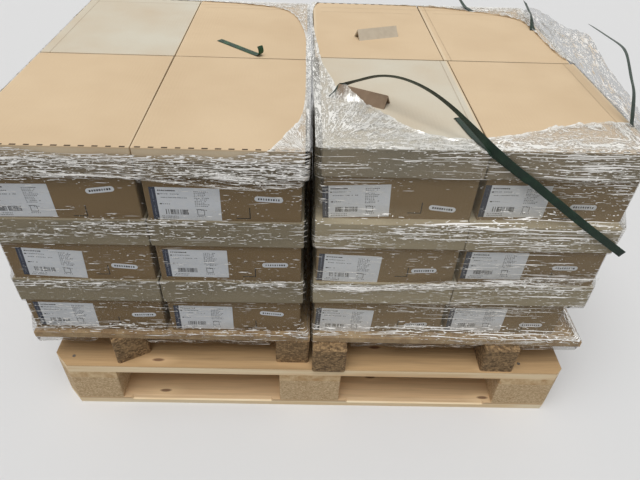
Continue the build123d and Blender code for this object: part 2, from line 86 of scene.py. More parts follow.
class Grain(Enum):
    """The direction that a board's fibres run in."""

    ALONG_X = 0
    ALONG_Y = 1


class StackSide(Enum):
    """Which of the two stacks a piece belongs to."""

    LEFT = -1
    RIGHT = 1


@dataclass(frozen=True)
class CartonSizes:
    """Sizes of one carton and of a layer of four."""

    pitch_x: float = 0.300
    pitch_y: float = 0.404
    lid_gap_x: float = 0.0025
    lid_gap_y: float = 0.005
    skirt: float = 0.060
    inset: float = 0.005
    height: float = 0.1585
    layers: int = 3
    turn_degrees: float = 0.15
    top_slip: float = 0.004

    @property
    def lid_x(self) -> float:
        """Outer width of a lid."""
        return self.pitch_x - self.lid_gap_x

    @property
    def lid_y(self) -> float:
        """Outer depth of a lid."""
        return self.pitch_y - self.lid_gap_y


@dataclass(frozen=True)
class Stack:
    """Where a stack of cartons stands."""

    side: StackSide
    x: float
    y: float
    turn_degrees: float
    top_set_back: float = 0.0
    top_turn_degrees: float = 0.0
    pushed_in: float = 0.0

    @property
    def name(self) -> str:
        """The word that the stack's nodes start with."""
        return self.side.name.lower()

    def layer_place(self, layer: int) -> Matrix:
        """The matrix that carries one layer's own axes to the model's.

        Args:
            layer: 0 for the lowest layer.

        Returns:
            A matrix with the stack's place and turn, and the top layer's own slip.
        """
        place = Matrix.Translation((self.x, self.y, 0)) @ Matrix.Rotation(math.radians(self.turn_degrees), 4, "Z")
        if layer == CARTON.layers - 1:
            place = place @ Matrix.Translation((0, self.top_set_back, 0))
            place = place @ Matrix.Rotation(math.radians(self.top_turn_degrees), 4, "Z")
        return place

    def carton_place(self, layer: int, cell: int) -> Matrix:
        """The matrix that carries one carton's axes, with its underside at zero, to the model's.

        Args:
            layer: 0 for the lowest layer.
            cell: 0 and 1 in front, 2 and 3 behind, left before right.

        Returns:
            The carton's place, turned a little as the solids are.
        """
        side_x = -1 if cell % 2 == 0 else 1
        side_y = -1 if cell < 2 else 1
        slip = -side_y * CARTON.top_slip if self.slips(layer) else 0.0
        turn = CARTON.turn_degrees * math.sin(2.1 * cell + 1.7 * layer + self.side.value)
        spot = (side_x * CARTON.pitch_x / 2 + slip, side_y * CARTON.pitch_y / 2, DECK_TOP + layer * CARTON.height)
        turned = Matrix.Rotation(math.radians(turn), 4, "Z")
        return self.layer_place(layer) @ Matrix.Translation(spot) @ turned

    def slips(self, layer: int) -> bool:
        """True for the layer whose rows have slipped sideways against each other."""
        return self.side is StackSide.RIGHT and layer == CARTON.layers - 1


CARTON = CartonSizes()
DECK_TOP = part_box("left_skid_deck")[1].z
BASE_DECK_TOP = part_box("base_deck_board_front")[1].z
BOTTOM_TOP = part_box("base_bottom_board_front")[1].z
LOAD_TOP = DECK_TOP + CARTON.layers * CARTON.height
LEFT = Stack(StackSide.LEFT, -0.3235, 0.0325, 0.5)
RIGHT = Stack(StackSide.RIGHT, 0.2965, 0.040, 0.3, 0.016, 0.7, 0.034)


class NodeWriter:
    """Adds nodes to a tree and links them, with values and links given the same way."""

    def __init__(self, tree: bpy.types.NodeTree) -> None:
        """Start on an empty tree."""
        self.tree = tree
        tree.nodes.clear()

    def put(self, socket: Socket, value: object) -> None:
        """Set one input.

        Args:
            socket: The input.
            value: A plain value, or another node's output.
        """
        if isinstance(value, Socket):
            self.tree.links.new(value, socket)
        else:
            socket.default_value = value

    def add(self, kind: str, inputs: dict | None = None, **settings: object) -> bpy.types.Node:
        """Add one node.

        Args:
            kind: The node's type name.
            inputs: Socket name or number to a value, or to another node's output.
            settings: Properties of the node itself.

        Returns:
            The new node.
        """
        node = self.tree.nodes.new(kind)
        for key, value in settings.items():
            setattr(node, key, value)
        for key, value in (inputs or {}).items():
            self.put(node.inputs[key], value)
        return node

    def math(self, operation: str, first: Value, second: Value = 0.0) -> Socket:
        """One sum, product or other operation on two numbers."""
        return self.add("ShaderNodeMath", {0: first, 1: second}, operation=operation).outputs[0]


class Paint(NodeWriter):
    """One material with a principled shader, and the patterns that the finishes share."""

    def __init__(self, name: str) -> None:
        """Make the material and its shader.

        Args:
            name: The material's name.
        """
        self.material = bpy.data.materials.new(name)
        self.material.use_nodes = True
        super().__init__(self.material.node_tree)
        self.shader = self.add("ShaderNodeBsdfPrincipled")
        output = self.add("ShaderNodeOutputMaterial")
        self.tree.links.new(self.shader.outputs[0], output.inputs[0])
        self.place = self.add("ShaderNodeTexCoord").outputs["Object"]

    def uv(self, name: str) -> Socket:
        """Coordinates from a piece's own UV map."""
        return self.add("ShaderNodeUVMap", uv_map=name).outputs[0]

    def axes(self, vector: Socket | None = None) -> Sequence[Socket]:
        """The three numbers of the object coordinates, or of another vector."""
        return self.add("ShaderNodeSeparateXYZ", {0: self.place if vector is None else vector}).outputs

    def times(self, first: Value, second: Value) -> Socket:
        """One number times another."""
        return self.math("MULTIPLY", first, second)

    def plus(self, first: Value, second: Value) -> Socket:
        """The sum of two numbers."""
        return self.math("ADD", first, second)

    def mapped(self, scale: Point, vector: Socket | None = None) -> Socket:
        """Object coordinates, or another vector, stretched along each axis."""
        source = self.place if vector is None else vector
        return self.add("ShaderNodeMapping", {0: source, 3: scale}).outputs[0]

    def noise(self, scale: float, vector: Socket | None = None, detail: float = 2.0, rough: float = 0.5) -> Socket:
        """Cloudy noise.

        Args:
            scale: How many clouds there are to a metre.
            vector: Other coordinates than the object's.
            detail: How many finer sets of clouds are added.
            rough: How strong each finer set is.

        Returns:
            One number between 0 and 1.
        """
        source = self.place if vector is None else vector
        settings = {"Vector": source, "Scale": scale, "Detail": detail, "Roughness": rough}
        return self.add("ShaderNodeTexNoise", settings).outputs[0]

    def steps(self, value: Value, low: float, high: float, bottom: float = 0.0, top: float = 1.0) -> Socket:
        """Map a value from one range to another and clamp it."""
        ends = {0: value, 1: low, 2: high, 3: bottom, 4: top}
        return self.add("ShaderNodeMapRange", ends).outputs[0]

    @staticmethod
    def whole(value: Value) -> object:
        """A colour with its fourth channel, and a number or a link as it is."""
        return (*value, 1.0) if isinstance(value, tuple) else value

    def blend(self, share: Value, first: Value, second: Value) -> Socket:
        """Mix two colours."""
        inputs = {0: share, 6: self.whole(first), 7: self.whole(second)}
        return self.add("ShaderNodeMix", inputs, data_type="RGBA").outputs[2]

    def lerp(self, share: Value, first: Value, second: Value) -> Socket:
        """Mix two numbers."""
        return self.add("ShaderNodeMix", {0: share, 2: first, 3: second}, data_type="FLOAT").outputs[0]

    def bump(self, height: Socket, distance: float, strength: float = 0.6) -> None:
        """Raise the surface by a pattern; calls add to each other.

        Args:
            height: The pattern.
            distance: How high its value of 1 stands.
            strength: How much the light takes of it.
        """
        normal = self.shader.inputs["Normal"]
        before = normal.links[0].from_socket if normal.is_linked else None
        inputs = {"Strength": strength, "Distance": distance, "Height": height}
        if before is not None:
            inputs["Normal"] = before
        self.tree.links.new(self.add("ShaderNodeBump", inputs).outputs[0], normal)

    def finish(self, colour: Value, roughness: Value, **sockets: Value) -> bpy.types.Material:
        """Set the shader's colour, roughness and any plain sockets.

        Args:
            colour: A colour or a link.
            roughness: A number or a link.
            sockets: Other socket names, with underscores for spaces, and their values.

        Returns:
            The finished material.
        """
        values = {"Base Color": colour, "Roughness": roughness}
        values.update({key.replace("_", " "): value for key, value in sockets.items()})
        for key, value in values.items():
            self.put(self.shader.inputs[key], self.whole(value))
        return self.material


@dataclass(frozen=True)
class Timber:
    """Sawn softwood with rings along its length, knots, sawn patches, and a darker top face above a height.

    The top face's tone is partly the wood's own and partly painted shade.
    """

    name: str
    grain: Grain
    pale: Colour
    dark: Colour
    knot: Colour = srgb(96, 56, 34)
    # Colour of the top face: partly the wood's own browner tone and partly painted shade.
    top: Colour = srgb(188, 156, 112)
    shaded_top_height: float = math.inf
    ring_scale: float = 55.0
    along_scale: float = 1.6
    bend: float = 0.035
    bend_scale: float = 3.5
    knot_pitch: Spot = (4.2, 13.0)
    knots_left_out: float = 0.45

    def material(self) -> bpy.types.Material:
        """Build the finish.

        Returns:
            The Blender material.
        """
        paint = Paint(self.name)
        along, across = self.along_scale, self.ring_scale
        stretch = (along, across, across) if self.grain is Grain.ALONG_X else (across, along, across)
        warp = paint.times(paint.noise(self.bend_scale, detail=2), self.bend)
        shift = paint.add("ShaderNodeCombineXYZ", {1: warp}).outputs[0]
        bent = paint.add("ShaderNodeVectorMath", {0: paint.place, 1: shift}, operation="ADD").outputs[0]
        fibres = paint.noise(1.0, paint.mapped(stretch, bent), detail=4, rough=0.62)
        fine = paint.noise(6.0, paint.mapped(stretch), detail=2)
        pitch = self.knot_pitch if self.grain is Grain.ALONG_X else self.knot_pitch[::-1]
        settings = {"Vector": paint.mapped((*pitch, 1.0), bent), "Scale": 1.0, "Randomness": 1.0}
        cells = paint.add("ShaderNodeTexVoronoi", settings, voronoi_dimensions="2D").outputs
        chance = paint.add("ShaderNodeSeparateColor", {0: cells["Color"]}).outputs[0]
        few = paint.math("GREATER_THAN", chance, self.knots_left_out)
        knot = paint.times(paint.steps(cells["Distance"], 0.04, 0.07, 1.0, 0.0), few)
        halo = paint.times(paint.steps(cells["Distance"], 0.06, 0.24, 0.6, 0.0), few)
        ring = paint.steps(fibres, 0.36, 0.66)
        wood = paint.blend(ring, self.pale, self.dark)
        # Above the height the top face takes its own tone: partly the wood's browner face, partly painted shade.
        if self.shaded_top_height < math.inf:
            worn = paint.blend(ring, self.top, tuple(0.72 * part for part in self.top))
            wood = paint.blend(paint.math("GREATER_THAN", paint.axes()[2], self.shaded_top_height), wood, worn)
        wood = paint.blend(paint.times(paint.steps(fine, 0.4, 0.8), 0.25), wood, self.dark)
        wood = paint.blend(halo, wood, self.dark)
        wood = paint.blend(paint.times(knot, 0.8), wood, self.knot)
        paint.bump(fibres, 0.0008)
        return paint.finish(wood, 0.72)


@dataclass(frozen=True)
class PressedChip:
    """Moulded wood chip: flakes of several browns packed together."""

    name: str
    pale: Colour
    dark: Colour
    flake: float = 240.0

    def material(self) -> bpy.types.Material:
        """Build the finish.

        Returns:
            The Blender material.
        """
        paint = Paint(self.name)
        flat = paint.mapped((1.0, 1.0, 1.35))
        cells = {"Vector": flat, "Scale": self.flake, "Randomness": 1.0}
        flakes = paint.add("ShaderNodeTexVoronoi", cells)
        grey = paint.add("ShaderNodeSeparateColor", {0: flakes.outputs["Color"]}).outputs[0]
        coarse = paint.noise(60.0, detail=3)
        share = paint.plus(paint.times(grey, 0.75), paint.times(coarse, 0.4))
        wood = paint.blend(paint.steps(share, 0.15, 1.0), self.dark, self.pale)
        edge = paint.steps(flakes.outputs["Distance"], 0.25, 0.75)
        wood = paint.blend(paint.times(edge, 0.3), wood, self.dark)
        paint.bump(share, 0.0012, 0.7)
        return paint.finish(wood, 0.85)


@dataclass(frozen=True)
class DeckSheet:
    """A thin sheet of pressed board with a mottled face."""

    name: str
    pale: Colour
    dark: Colour

    def material(self) -> bpy.types.Material:
        """Build the finish.

        Returns:
            The Blender material.
        """
        paint = Paint(self.name)
        patches = paint.noise(38.0, detail=5, rough=0.7)
        streak = paint.noise(1.0, paint.mapped((9.0, 9.0, 420.0)), detail=3)
        board = paint.blend(paint.steps(patches, 0.4, 0.62), self.pale, self.dark)
        board = paint.blend(paint.times(paint.steps(streak, 0.4, 0.7), 0.35), board, self.dark)
        paint.bump(patches, 0.0005)
        return paint.finish(board, 0.75)


@dataclass(frozen=True)
class Crease:
    """A pressed line in a lid's top, along the stack's own x or y, with a wavy or straight run."""

    along: Grain
    at: float
    start: float
    end: float
    wave: float = 0.0


@dataclass(frozen=True)
class CartonBoard:
    """Corrugated board: soft colour drift, faint flutes, fine fibres, and scuffs."""

    name: str
    colour: Colour
    shade: Colour
    flute_pitch: float = 0.0072

    def material(self) -> bpy.types.Material:
        """Build the finish."""
        return self.cover(Paint(self.name), self.colour)

    def cover(self, paint: Paint, tone: Value) -> bpy.types.Material:
        """Finish the board over a ground colour.

        Args:
            paint: The material being written.
            tone: The ground colour or a link to one.

        Returns:
            The finished material.
        """
        clouds = paint.noise(5.0, detail=3)
        speck = paint.noise(420.0, detail=2)
        tone = paint.blend(paint.times(paint.steps(clouds, 0.35, 0.75), 0.45), tone, self.shade)
        tone = paint.blend(paint.times(paint.steps(speck, 0.55, 0.85), 0.16), tone, self.shade)
        turns = 2 * math.pi / self.flute_pitch
        flutes = paint.math("SINE", paint.times(paint.axes()[0], turns))
        paint.bump(flutes, 0.00006, 0.5)
        waves = paint.noise(1.0, paint.mapped((4.0, 14.0, 9.0)), detail=2)
        paint.bump(paint.steps(waves, 0.3, 0.8), 0.004, 0.45)
        paint.bump(speck, 0.0001, 0.4)
        return paint.finish(tone, 0.82)


@dataclass(frozen=True)
class LidTops:
    """The four lids on a stack's top: one of them grey, pale rims at the seams, and pressed creases.

    The pale rims are painted highlights and the creases are darkened with painted shade. The skirts below the top are
    painted darker than it as shade, with a strip colour of their own just under the top edge.
    """

    name: str
    stack: Stack
    grey_cell: tuple[int, int]
    creases: tuple[Crease, ...]
    colour: Colour
    shade: Colour
    grey: Colour = srgb(213, 206, 188)
    # Painted shade: the skirts are darker than the top board, with a strip colour of their own just under the edge.
    skirt: Colour = srgb(152, 143, 124)
    strip: Colour = srgb(152, 143, 124)
    strip_height: float = 0.024
    # Painted highlight: the pale rim along the lid edges at the seams.
    rim: Colour = srgb(232, 214, 184)
    seam_highlight_width: float = 0.0045
    crease_width: float = 0.0016

    def material(self) -> bpy.types.Material:
        """Build the finish.

        Returns:
            The Blender material.
        """
        paint = Paint(self.name)
        place = self.stack.layer_place(CARTON.layers - 1)
        shift = place.translation
        inputs = {0: paint.place, 1: (shift.x, shift.y, 0.0), 2: (0.0, 0.0, place.to_euler().z)}
        local = paint.add("ShaderNodeMapping", inputs, vector_type="TEXTURE").outputs[0]
        axes = paint.axes(local)
        side_x = paint.math("GREATER_THAN", paint.times(axes[0], self.grey_cell[0]), 0.0)
        side_y = paint.math("GREATER_THAN", paint.times(axes[1], self.grey_cell[1]), 0.0)
        tone = paint.blend(paint.times(side_x, side_y), self.colour, self.grey)
        edges = [paint.math("ABSOLUTE", axis) for axis in axes[:2]]
        near = paint.math("MINIMUM", edges[0], edges[1])
        outer = paint.math("SUBTRACT", CARTON.pitch_x, edges[0])
        near = paint.math("MINIMUM", near, outer)
        # Painted highlight near the seams and the outer edges.
        rim = paint.steps(near, self.seam_highlight_width * 0.5, self.seam_highlight_width, 0.55, 0.0)
        tone = paint.blend(rim, tone, self.rim)
        for crease in self.creases:
            line = self.line(paint, axes, crease)
            paint.bump(line, 0.0015, 0.8)
            # Painted shade in the crease, besides its bump.
            tone = paint.blend(paint.times(line, 0.35), tone, self.shade)
        height = paint.axes()[2]
        # Painted shade: below the top edge the board takes the darker skirt and strip colours.
        strip = LOAD_TOP - self.strip_height
        side = paint.blend(paint.steps(height, strip - 0.004, strip + 0.004), self.skirt, self.strip)
        tone = paint.blend(paint.steps(height, LOAD_TOP - 0.0045, LOAD_TOP - 0.0015), side, tone)
        return CartonBoard(self.name, self.colour, self.shade).cover(paint, tone)

    def line(self, paint: Paint, axes: Sequence[Socket], crease: Crease) -> Socket:
        """Draw one crease.

        Args:
            paint: The material being written.
            axes: The coordinates in the top layer's axes.
            crease: The crease.

        Returns:
            How strongly each place is on it, from 0 to 1.
        """
        run, across = (axes[0], axes[1]) if crease.along is Grain.ALONG_X else (axes[1], axes[0])
        if crease.wave:
            sway = paint.noise(9.0, detail=1)
            across = paint.plus(across, paint.times(sway, crease.wave))
        off = paint.math("ABSOLUTE", paint.math("SUBTRACT", across, crease.at))
        line = paint.steps(off, 0.0, self.crease_width, 1.0, 0.0)
        begun = paint.math("GREATER_THAN", run, crease.start)
        return paint.times(line, paint.times(begun, paint.math("LESS_THAN", run, crease.end)))


@dataclass(frozen=True)
class SolidBoard:
    """Laminated solid board of an edge protector, mottled with a second tone."""

    name: str
    colour: Colour
    edge: Colour

    def material(self) -> bpy.types.Material:
        """Build the finish.

        Returns:
            The Blender material.
        """
        paint = Paint(self.name)
        cloud = paint.noise(70.0, detail=4, rough=0.6)
        tone = paint.blend(paint.times(paint.steps(cloud, 0.4, 0.75), 0.4), self.colour, self.edge)
        paint.bump(cloud, 0.0002)
        return paint.finish(tone, 0.7)


@dataclass(frozen=True)
class StrapPlastic:
    """Embossed polyester strap: a waffle of fine ribs on a satin face."""

    name: str
    colour: Colour
    worn: Colour
    rib_pitch: float = 0.0024

    def material(self) -> bpy.types.Material:
        """Build the finish.

        Returns:
            The Blender material.
        """
        paint = Paint(self.name)
        turns = 2 * math.pi / self.rib_pitch
        axes = paint.axes(paint.uv(FILM_UV))
        first = paint.math("SINE", paint.times(paint.plus(axes[0], axes[1]), turns))
        second = paint.math("SINE", paint.times(paint.math("SUBTRACT", axes[0], axes[1]), turns))
        waffle = paint.times(first, second)
        scuff = paint.noise(45.0, detail=3)
        tone = paint.blend(paint.steps(scuff, 0.45, 0.8), self.colour, self.worn)
        tone = paint.blend(paint.steps(waffle, 0.2, 0.9, 0.0, 0.5), tone, self.worn)
        paint.bump(waffle, 0.00025, 0.7)
        return paint.finish(tone, 0.42, Specular_IOR_Level=0.25)


@dataclass(frozen=True)
class Print:
    """Plain ink, paper or metal with a little unevenness."""

    name: str
    colour: Colour
    roughness: float = 0.6
    metallic: float = 0.0

    def material(self) -> bpy.types.Material:
        """Build the finish.

        Returns:
            The Blender material.
        """
        paint = Paint(self.name)
        cloud = paint.noise(120.0, detail=2)
        faded = tuple(min(1.0, part * 1.15 + 0.01) for part in self.colour)
        tone = paint.blend(paint.times(paint.steps(cloud, 0.4, 0.8), 0.5), self.colour, faded)
        return paint.finish(tone, self.roughness, Metallic=self.metallic)


@dataclass(frozen=True)
class Glints:
    """One size of painted glint in the film: how often they come along the wrap and across it, per metre."""

    along: float
    across: float
    raised: float
    weight: float


SHORT_GLINTS = (Glints(8.0, 360.0, 0.015, 0.8), Glints(28.0, 420.0, 0.0, 0.95), Glints(100.0, 420.0, 0.02, 1.0))
LONG_GLINTS = (Glints(5.0, 330.0, 0.0, 0.95), Glints(24.0, 420.0, 0.01, 1.0), Glints(100.0, 440.0, 0.02, 1.0))
CROWD_REACH = 0.125
CRUMPLED = (Glints(22.0, 170.0, 0.0, 0.9), Glints(60.0, 300.0, 0.01, 1.0), Glints(160.0, 330.0, 0.0, 1.0))


@dataclass(frozen=True)
class FilmPlastic:
    """Layers of clear stretch film: a tinted veil, and painted glints along the way that it is pulled.

    The veil is partly the film's own haze and partly painted shade over what lies under it. The glints are painted
    highlights: thin streaks of pale colour and opacity, made metallic there so that they also reflect the surround.
    The crowding lists how much more the glints crowd at a height in a layer: layer, height, amount.
    """

    name: str
    veil: float
    tint: Colour
    threshold: float
    glints: tuple[Glints, ...] = SHORT_GLINTS
    crowding: tuple[tuple[int, float, float], ...] = ()
    far_half: tuple[float, float, float] = (0.0, 1.0, 0.0)
    patchy: float = 0.055
    strength: float = 0.95
    gathered: bool = False
    soft_rim: float = 0.0
    wander: float = 0.014
    shine: Colour = srgb(252, 250, 246)
    edge: float = 0.022

    def material(self) -> bpy.types.Material:
        """Build the finish.

        Returns:
            The Blender material.
        """
        paint = Paint(self.name)
        wrap = paint.uv(FILM_UV)
        axes = paint.axes(wrap)
        clump = paint.noise(1.0, paint.mapped((3.2, 24.0, 1.0), wrap), detail=3)
        crowd = paint.steps(clump, 0.34, 0.66, -self.patchy, self.patchy)
        if self.crowding:
            crowd = paint.plus(crowd, self.by_height(paint, axes[1]))
        start, end, amount = self.far_half
        if amount:
            crowd = paint.plus(crowd, paint.steps(axes[0], start, end, 0.0, amount))
        # Painted highlights: the glints' mask, laid on below as pale colour and opacity.
        shine = self.creases(paint, wrap, crowd)
        # The veil: film haze, and painted shade where its tint is dark.
        veil = paint.steps(crowd, -0.06, 0.12, self.veil * 0.75, self.veil * 1.6)
        if self.gathered:
            raised = paint.axes(paint.uv(RIM_UV))[1]
            shine = paint.times(self.crumple(paint, shine, crowd), paint.steps(raised, 0.003, 0.012, 1.0, 0.4))
            veil = paint.times(veil, paint.steps(raised, 0.003, 0.012, 1.0, 0.35))
        alpha = paint.math("MINIMUM", paint.plus(veil, paint.times(shine, self.strength)), 1.0)
        if self.soft_rim:
            rim = paint.axes(paint.uv(RIM_UV))[0]
            ragged = paint.plus(rim, paint.times(paint.noise(90.0), -self.soft_rim))
            alpha = paint.times(alpha, paint.steps(ragged, -0.5 * self.soft_rim, self.soft_rim))
        paint.bump(paint.noise(1.0, paint.mapped((14.0, 260.0, 1.0), wrap), detail=1), 0.002, 0.5)
        # Painted glints: shine colour, opacity and metallic reflection where the mask is high.
        gleam = paint.times(shine, 0.75)
        return paint.finish(paint.blend(shine, self.tint, self.shine), 0.3, Alpha=alpha, Metallic=gleam)

    def by_height(self, paint: Paint, height: Socket) -> Socket:
        """How much more the painted glints crowd at each height.

        Args:
            paint: The material being written.
            height: The height as a link.

        Returns:
            The amount, read from the table.
        """
        table = sorted((DECK_TOP + layer * CARTON.height + rise, amount) for layer, rise, amount in self.crowding)
        low, high = table[0][0], table[-1][0]
        ramp = paint.add("ShaderNodeValToRGB", {0: paint.steps(height, low, high)})
        marks = ramp.color_ramp.elements
        for z, amount in table[1:-1]:
            marks.new((z - low) / (high - low)).color = (0.5 + amount / (2 * CROWD_REACH),) * 3 + (1.0,)
        for number, (z, amount) in ((0, table[0]), (len(marks) - 1, table[-1])):
            marks[number].color = (0.5 + amount / (2 * CROWD_REACH),) * 3 + (1.0,)
        return paint.steps(ramp.outputs[0], 0.0, 1.0, -CROWD_REACH, CROWD_REACH)

    def creases(self, paint: Paint, flow: Socket, crowd: Socket) -> Socket:
        """Painted glints, streaks of pale colour and opacity that run along a flow like lit creases.

        Args:
            paint: The material being written.
            flow: Coordinates with the pull along their first axis.
            crowd: How much the creases crowd, as a link.

        Returns:
            How bright each place glints, from 0 to 1.
        """
        wander = paint.noise(1.0, paint.mapped((5.0, 14.0, 1.0), flow), detail=2)
        lift = paint.times(wander, self.wander)
        lifted = paint.add("ShaderNodeCombineXYZ", {1: lift}).outputs[0]
        bent = paint.add("ShaderNodeVectorMath", {0: flow, 1: lifted}, operation="ADD").outputs[0]
        best = None
        for size in self.glints:
            folds = paint.noise(1.0, paint.mapped((size.along, size.across, 1.0), bent), detail=1.5, rough=0.55)
            low = self.threshold + size.raised
            bright = paint.steps(paint.plus(folds, crowd), low, low + self.edge, 0.0, size.weight)
            best = bright if best is None else paint.math("MAXIMUM", best, bright)
        return best

    def crumple(self, paint: Paint, shine: Socket, crowd: Socket) -> Socket:
        """Paint the gathered film's glints: they fan out of the corner, a net of fine lines crosses them, and the free
        edge glints.

        Args:
            paint: The material being written.
            shine: The creases along the wrap.
            crowd: How much they crowd.

        Returns:
            The whole pattern, from 0 to 1.
        """
        corner = paint.uv(CORNER_UV)
        away = paint.axes(corner)[0]
        shine = paint.lerp(paint.steps(away, 0.10, 0.30, 1.0, 0.0), shine, self.creases(paint, corner, crowd))
        shift = paint.add("ShaderNodeTexNoise", {"Vector": paint.place, "Scale": 24.0, "Detail": 2.0}).outputs[1]
        inputs = {0: shift, 1: (0.03, 0.03, 0.03), 2: paint.place}
        torn = paint.add("ShaderNodeVectorMath", inputs, operation="MULTIPLY_ADD").outputs[0]
        settings = {"Vector": torn, "Scale": 95.0, "Randomness": 1.0}
        net = paint.add("ShaderNodeTexVoronoi", settings, feature="DISTANCE_TO_EDGE").outputs[0]
        thin = paint.steps(net, 0.02, 0.06, 0.45, 0.0)
        some = paint.steps(paint.plus(paint.noise(30.0, detail=2), crowd), 0.46, 0.56)
        shine = paint.math("MAXIMUM", shine, paint.times(thin, some))
        # Painted highlight along the free edge of the gathered film.
        rim = paint.axes(paint.uv(RIM_UV))[0]
        gaps = paint.steps(paint.noise(60.0), 0.42, 0.58, 0.2, 1.0)
        rim_glint = paint.times(paint.steps(rim, 0.002, 0.010, 0.75, 0.0), gaps)
        return paint.math("MAXIMUM", shine, rim_glint)


LEFT_CROWDING = (
    (0, -0.03, -0.02), (0, -0.004, -0.05), (0, 0.006, 0.03), (0, 0.03, 0.02), (0, 0.055, -0.03), (0, 0.09, -0.03),
    (0, 0.104, -0.01), (0, 0.13, 0.0), (0, 0.152, 0.035), (1, 0.0, 0.04), (1, 0.012, -0.02), (1, 0.06, -0.045),
    (1, 0.09, -0.03), (1, 0.104, -0.01), (1, 0.13, -0.005), (1, 0.152, 0.02), (2, 0.0, 0.035), (2, 0.014, -0.015),
    (2, 0.045, -0.04), (2, 0.075, -0.03), (2, 0.09, 0.05), (2, 0.11, 0.075), (2, 0.14, 0.080), (2, 0.158, 0.055),
)
RIGHT_CROWDING = (
    (0, -0.03, -0.04), (0, -0.004, -0.055), (0, 0.006, 0.03), (0, 0.025, 0.025), (0, 0.055, -0.035), (0, 0.09, -0.02),
    (0, 0.104, 0.015), (0, 0.13, 0.015), (0, 0.152, 0.01), (1, 0.0, 0.02), (1, 0.014, -0.015), (1, 0.06, -0.045),
    (1, 0.09, -0.02), (1, 0.104, 0.01), (1, 0.13, 0.01), (1, 0.152, 0.025), (2, 0.0, 0.045), (2, 0.014, -0.02),
    (2, 0.045, -0.045), (2, 0.09, -0.01), (2, 0.106, 0.0), (2, 0.135, 0.01), (2, 0.150, 0.0), (2, 0.158, 0.035),
)
LEFT_CREASES = (
    Crease(Grain.ALONG_Y, -0.278, 0.0, 0.4),
    Crease(Grain.ALONG_X, 0.372, -0.29, 0.29, 0.006),
    Crease(Grain.ALONG_X, 0.350, 0.02, 0.28, 0.010),
)
RIGHT_CREASES = (
    Crease(Grain.ALONG_Y, 0.277, -0.4, 0.0),
    Crease(Grain.ALONG_Y, 0.014, 0.0, 0.4),
    Crease(Grain.ALONG_Y, -0.014, -0.4, 0.0),
    Crease(Grain.ALONG_X, 0.366, -0.28, 0.28, 0.012),
    Crease(Grain.ALONG_X, 0.340, 0.03, 0.27, 0.014),
    Crease(Grain.ALONG_X, 0.330, -0.28, -0.03, 0.010),
)
TAN = srgb(220, 195, 160)
TAN_SHADE = srgb(196, 168, 132)
BASE_TAN = srgb(142, 118, 84)
BASE_SHADE = srgb(124, 100, 66)

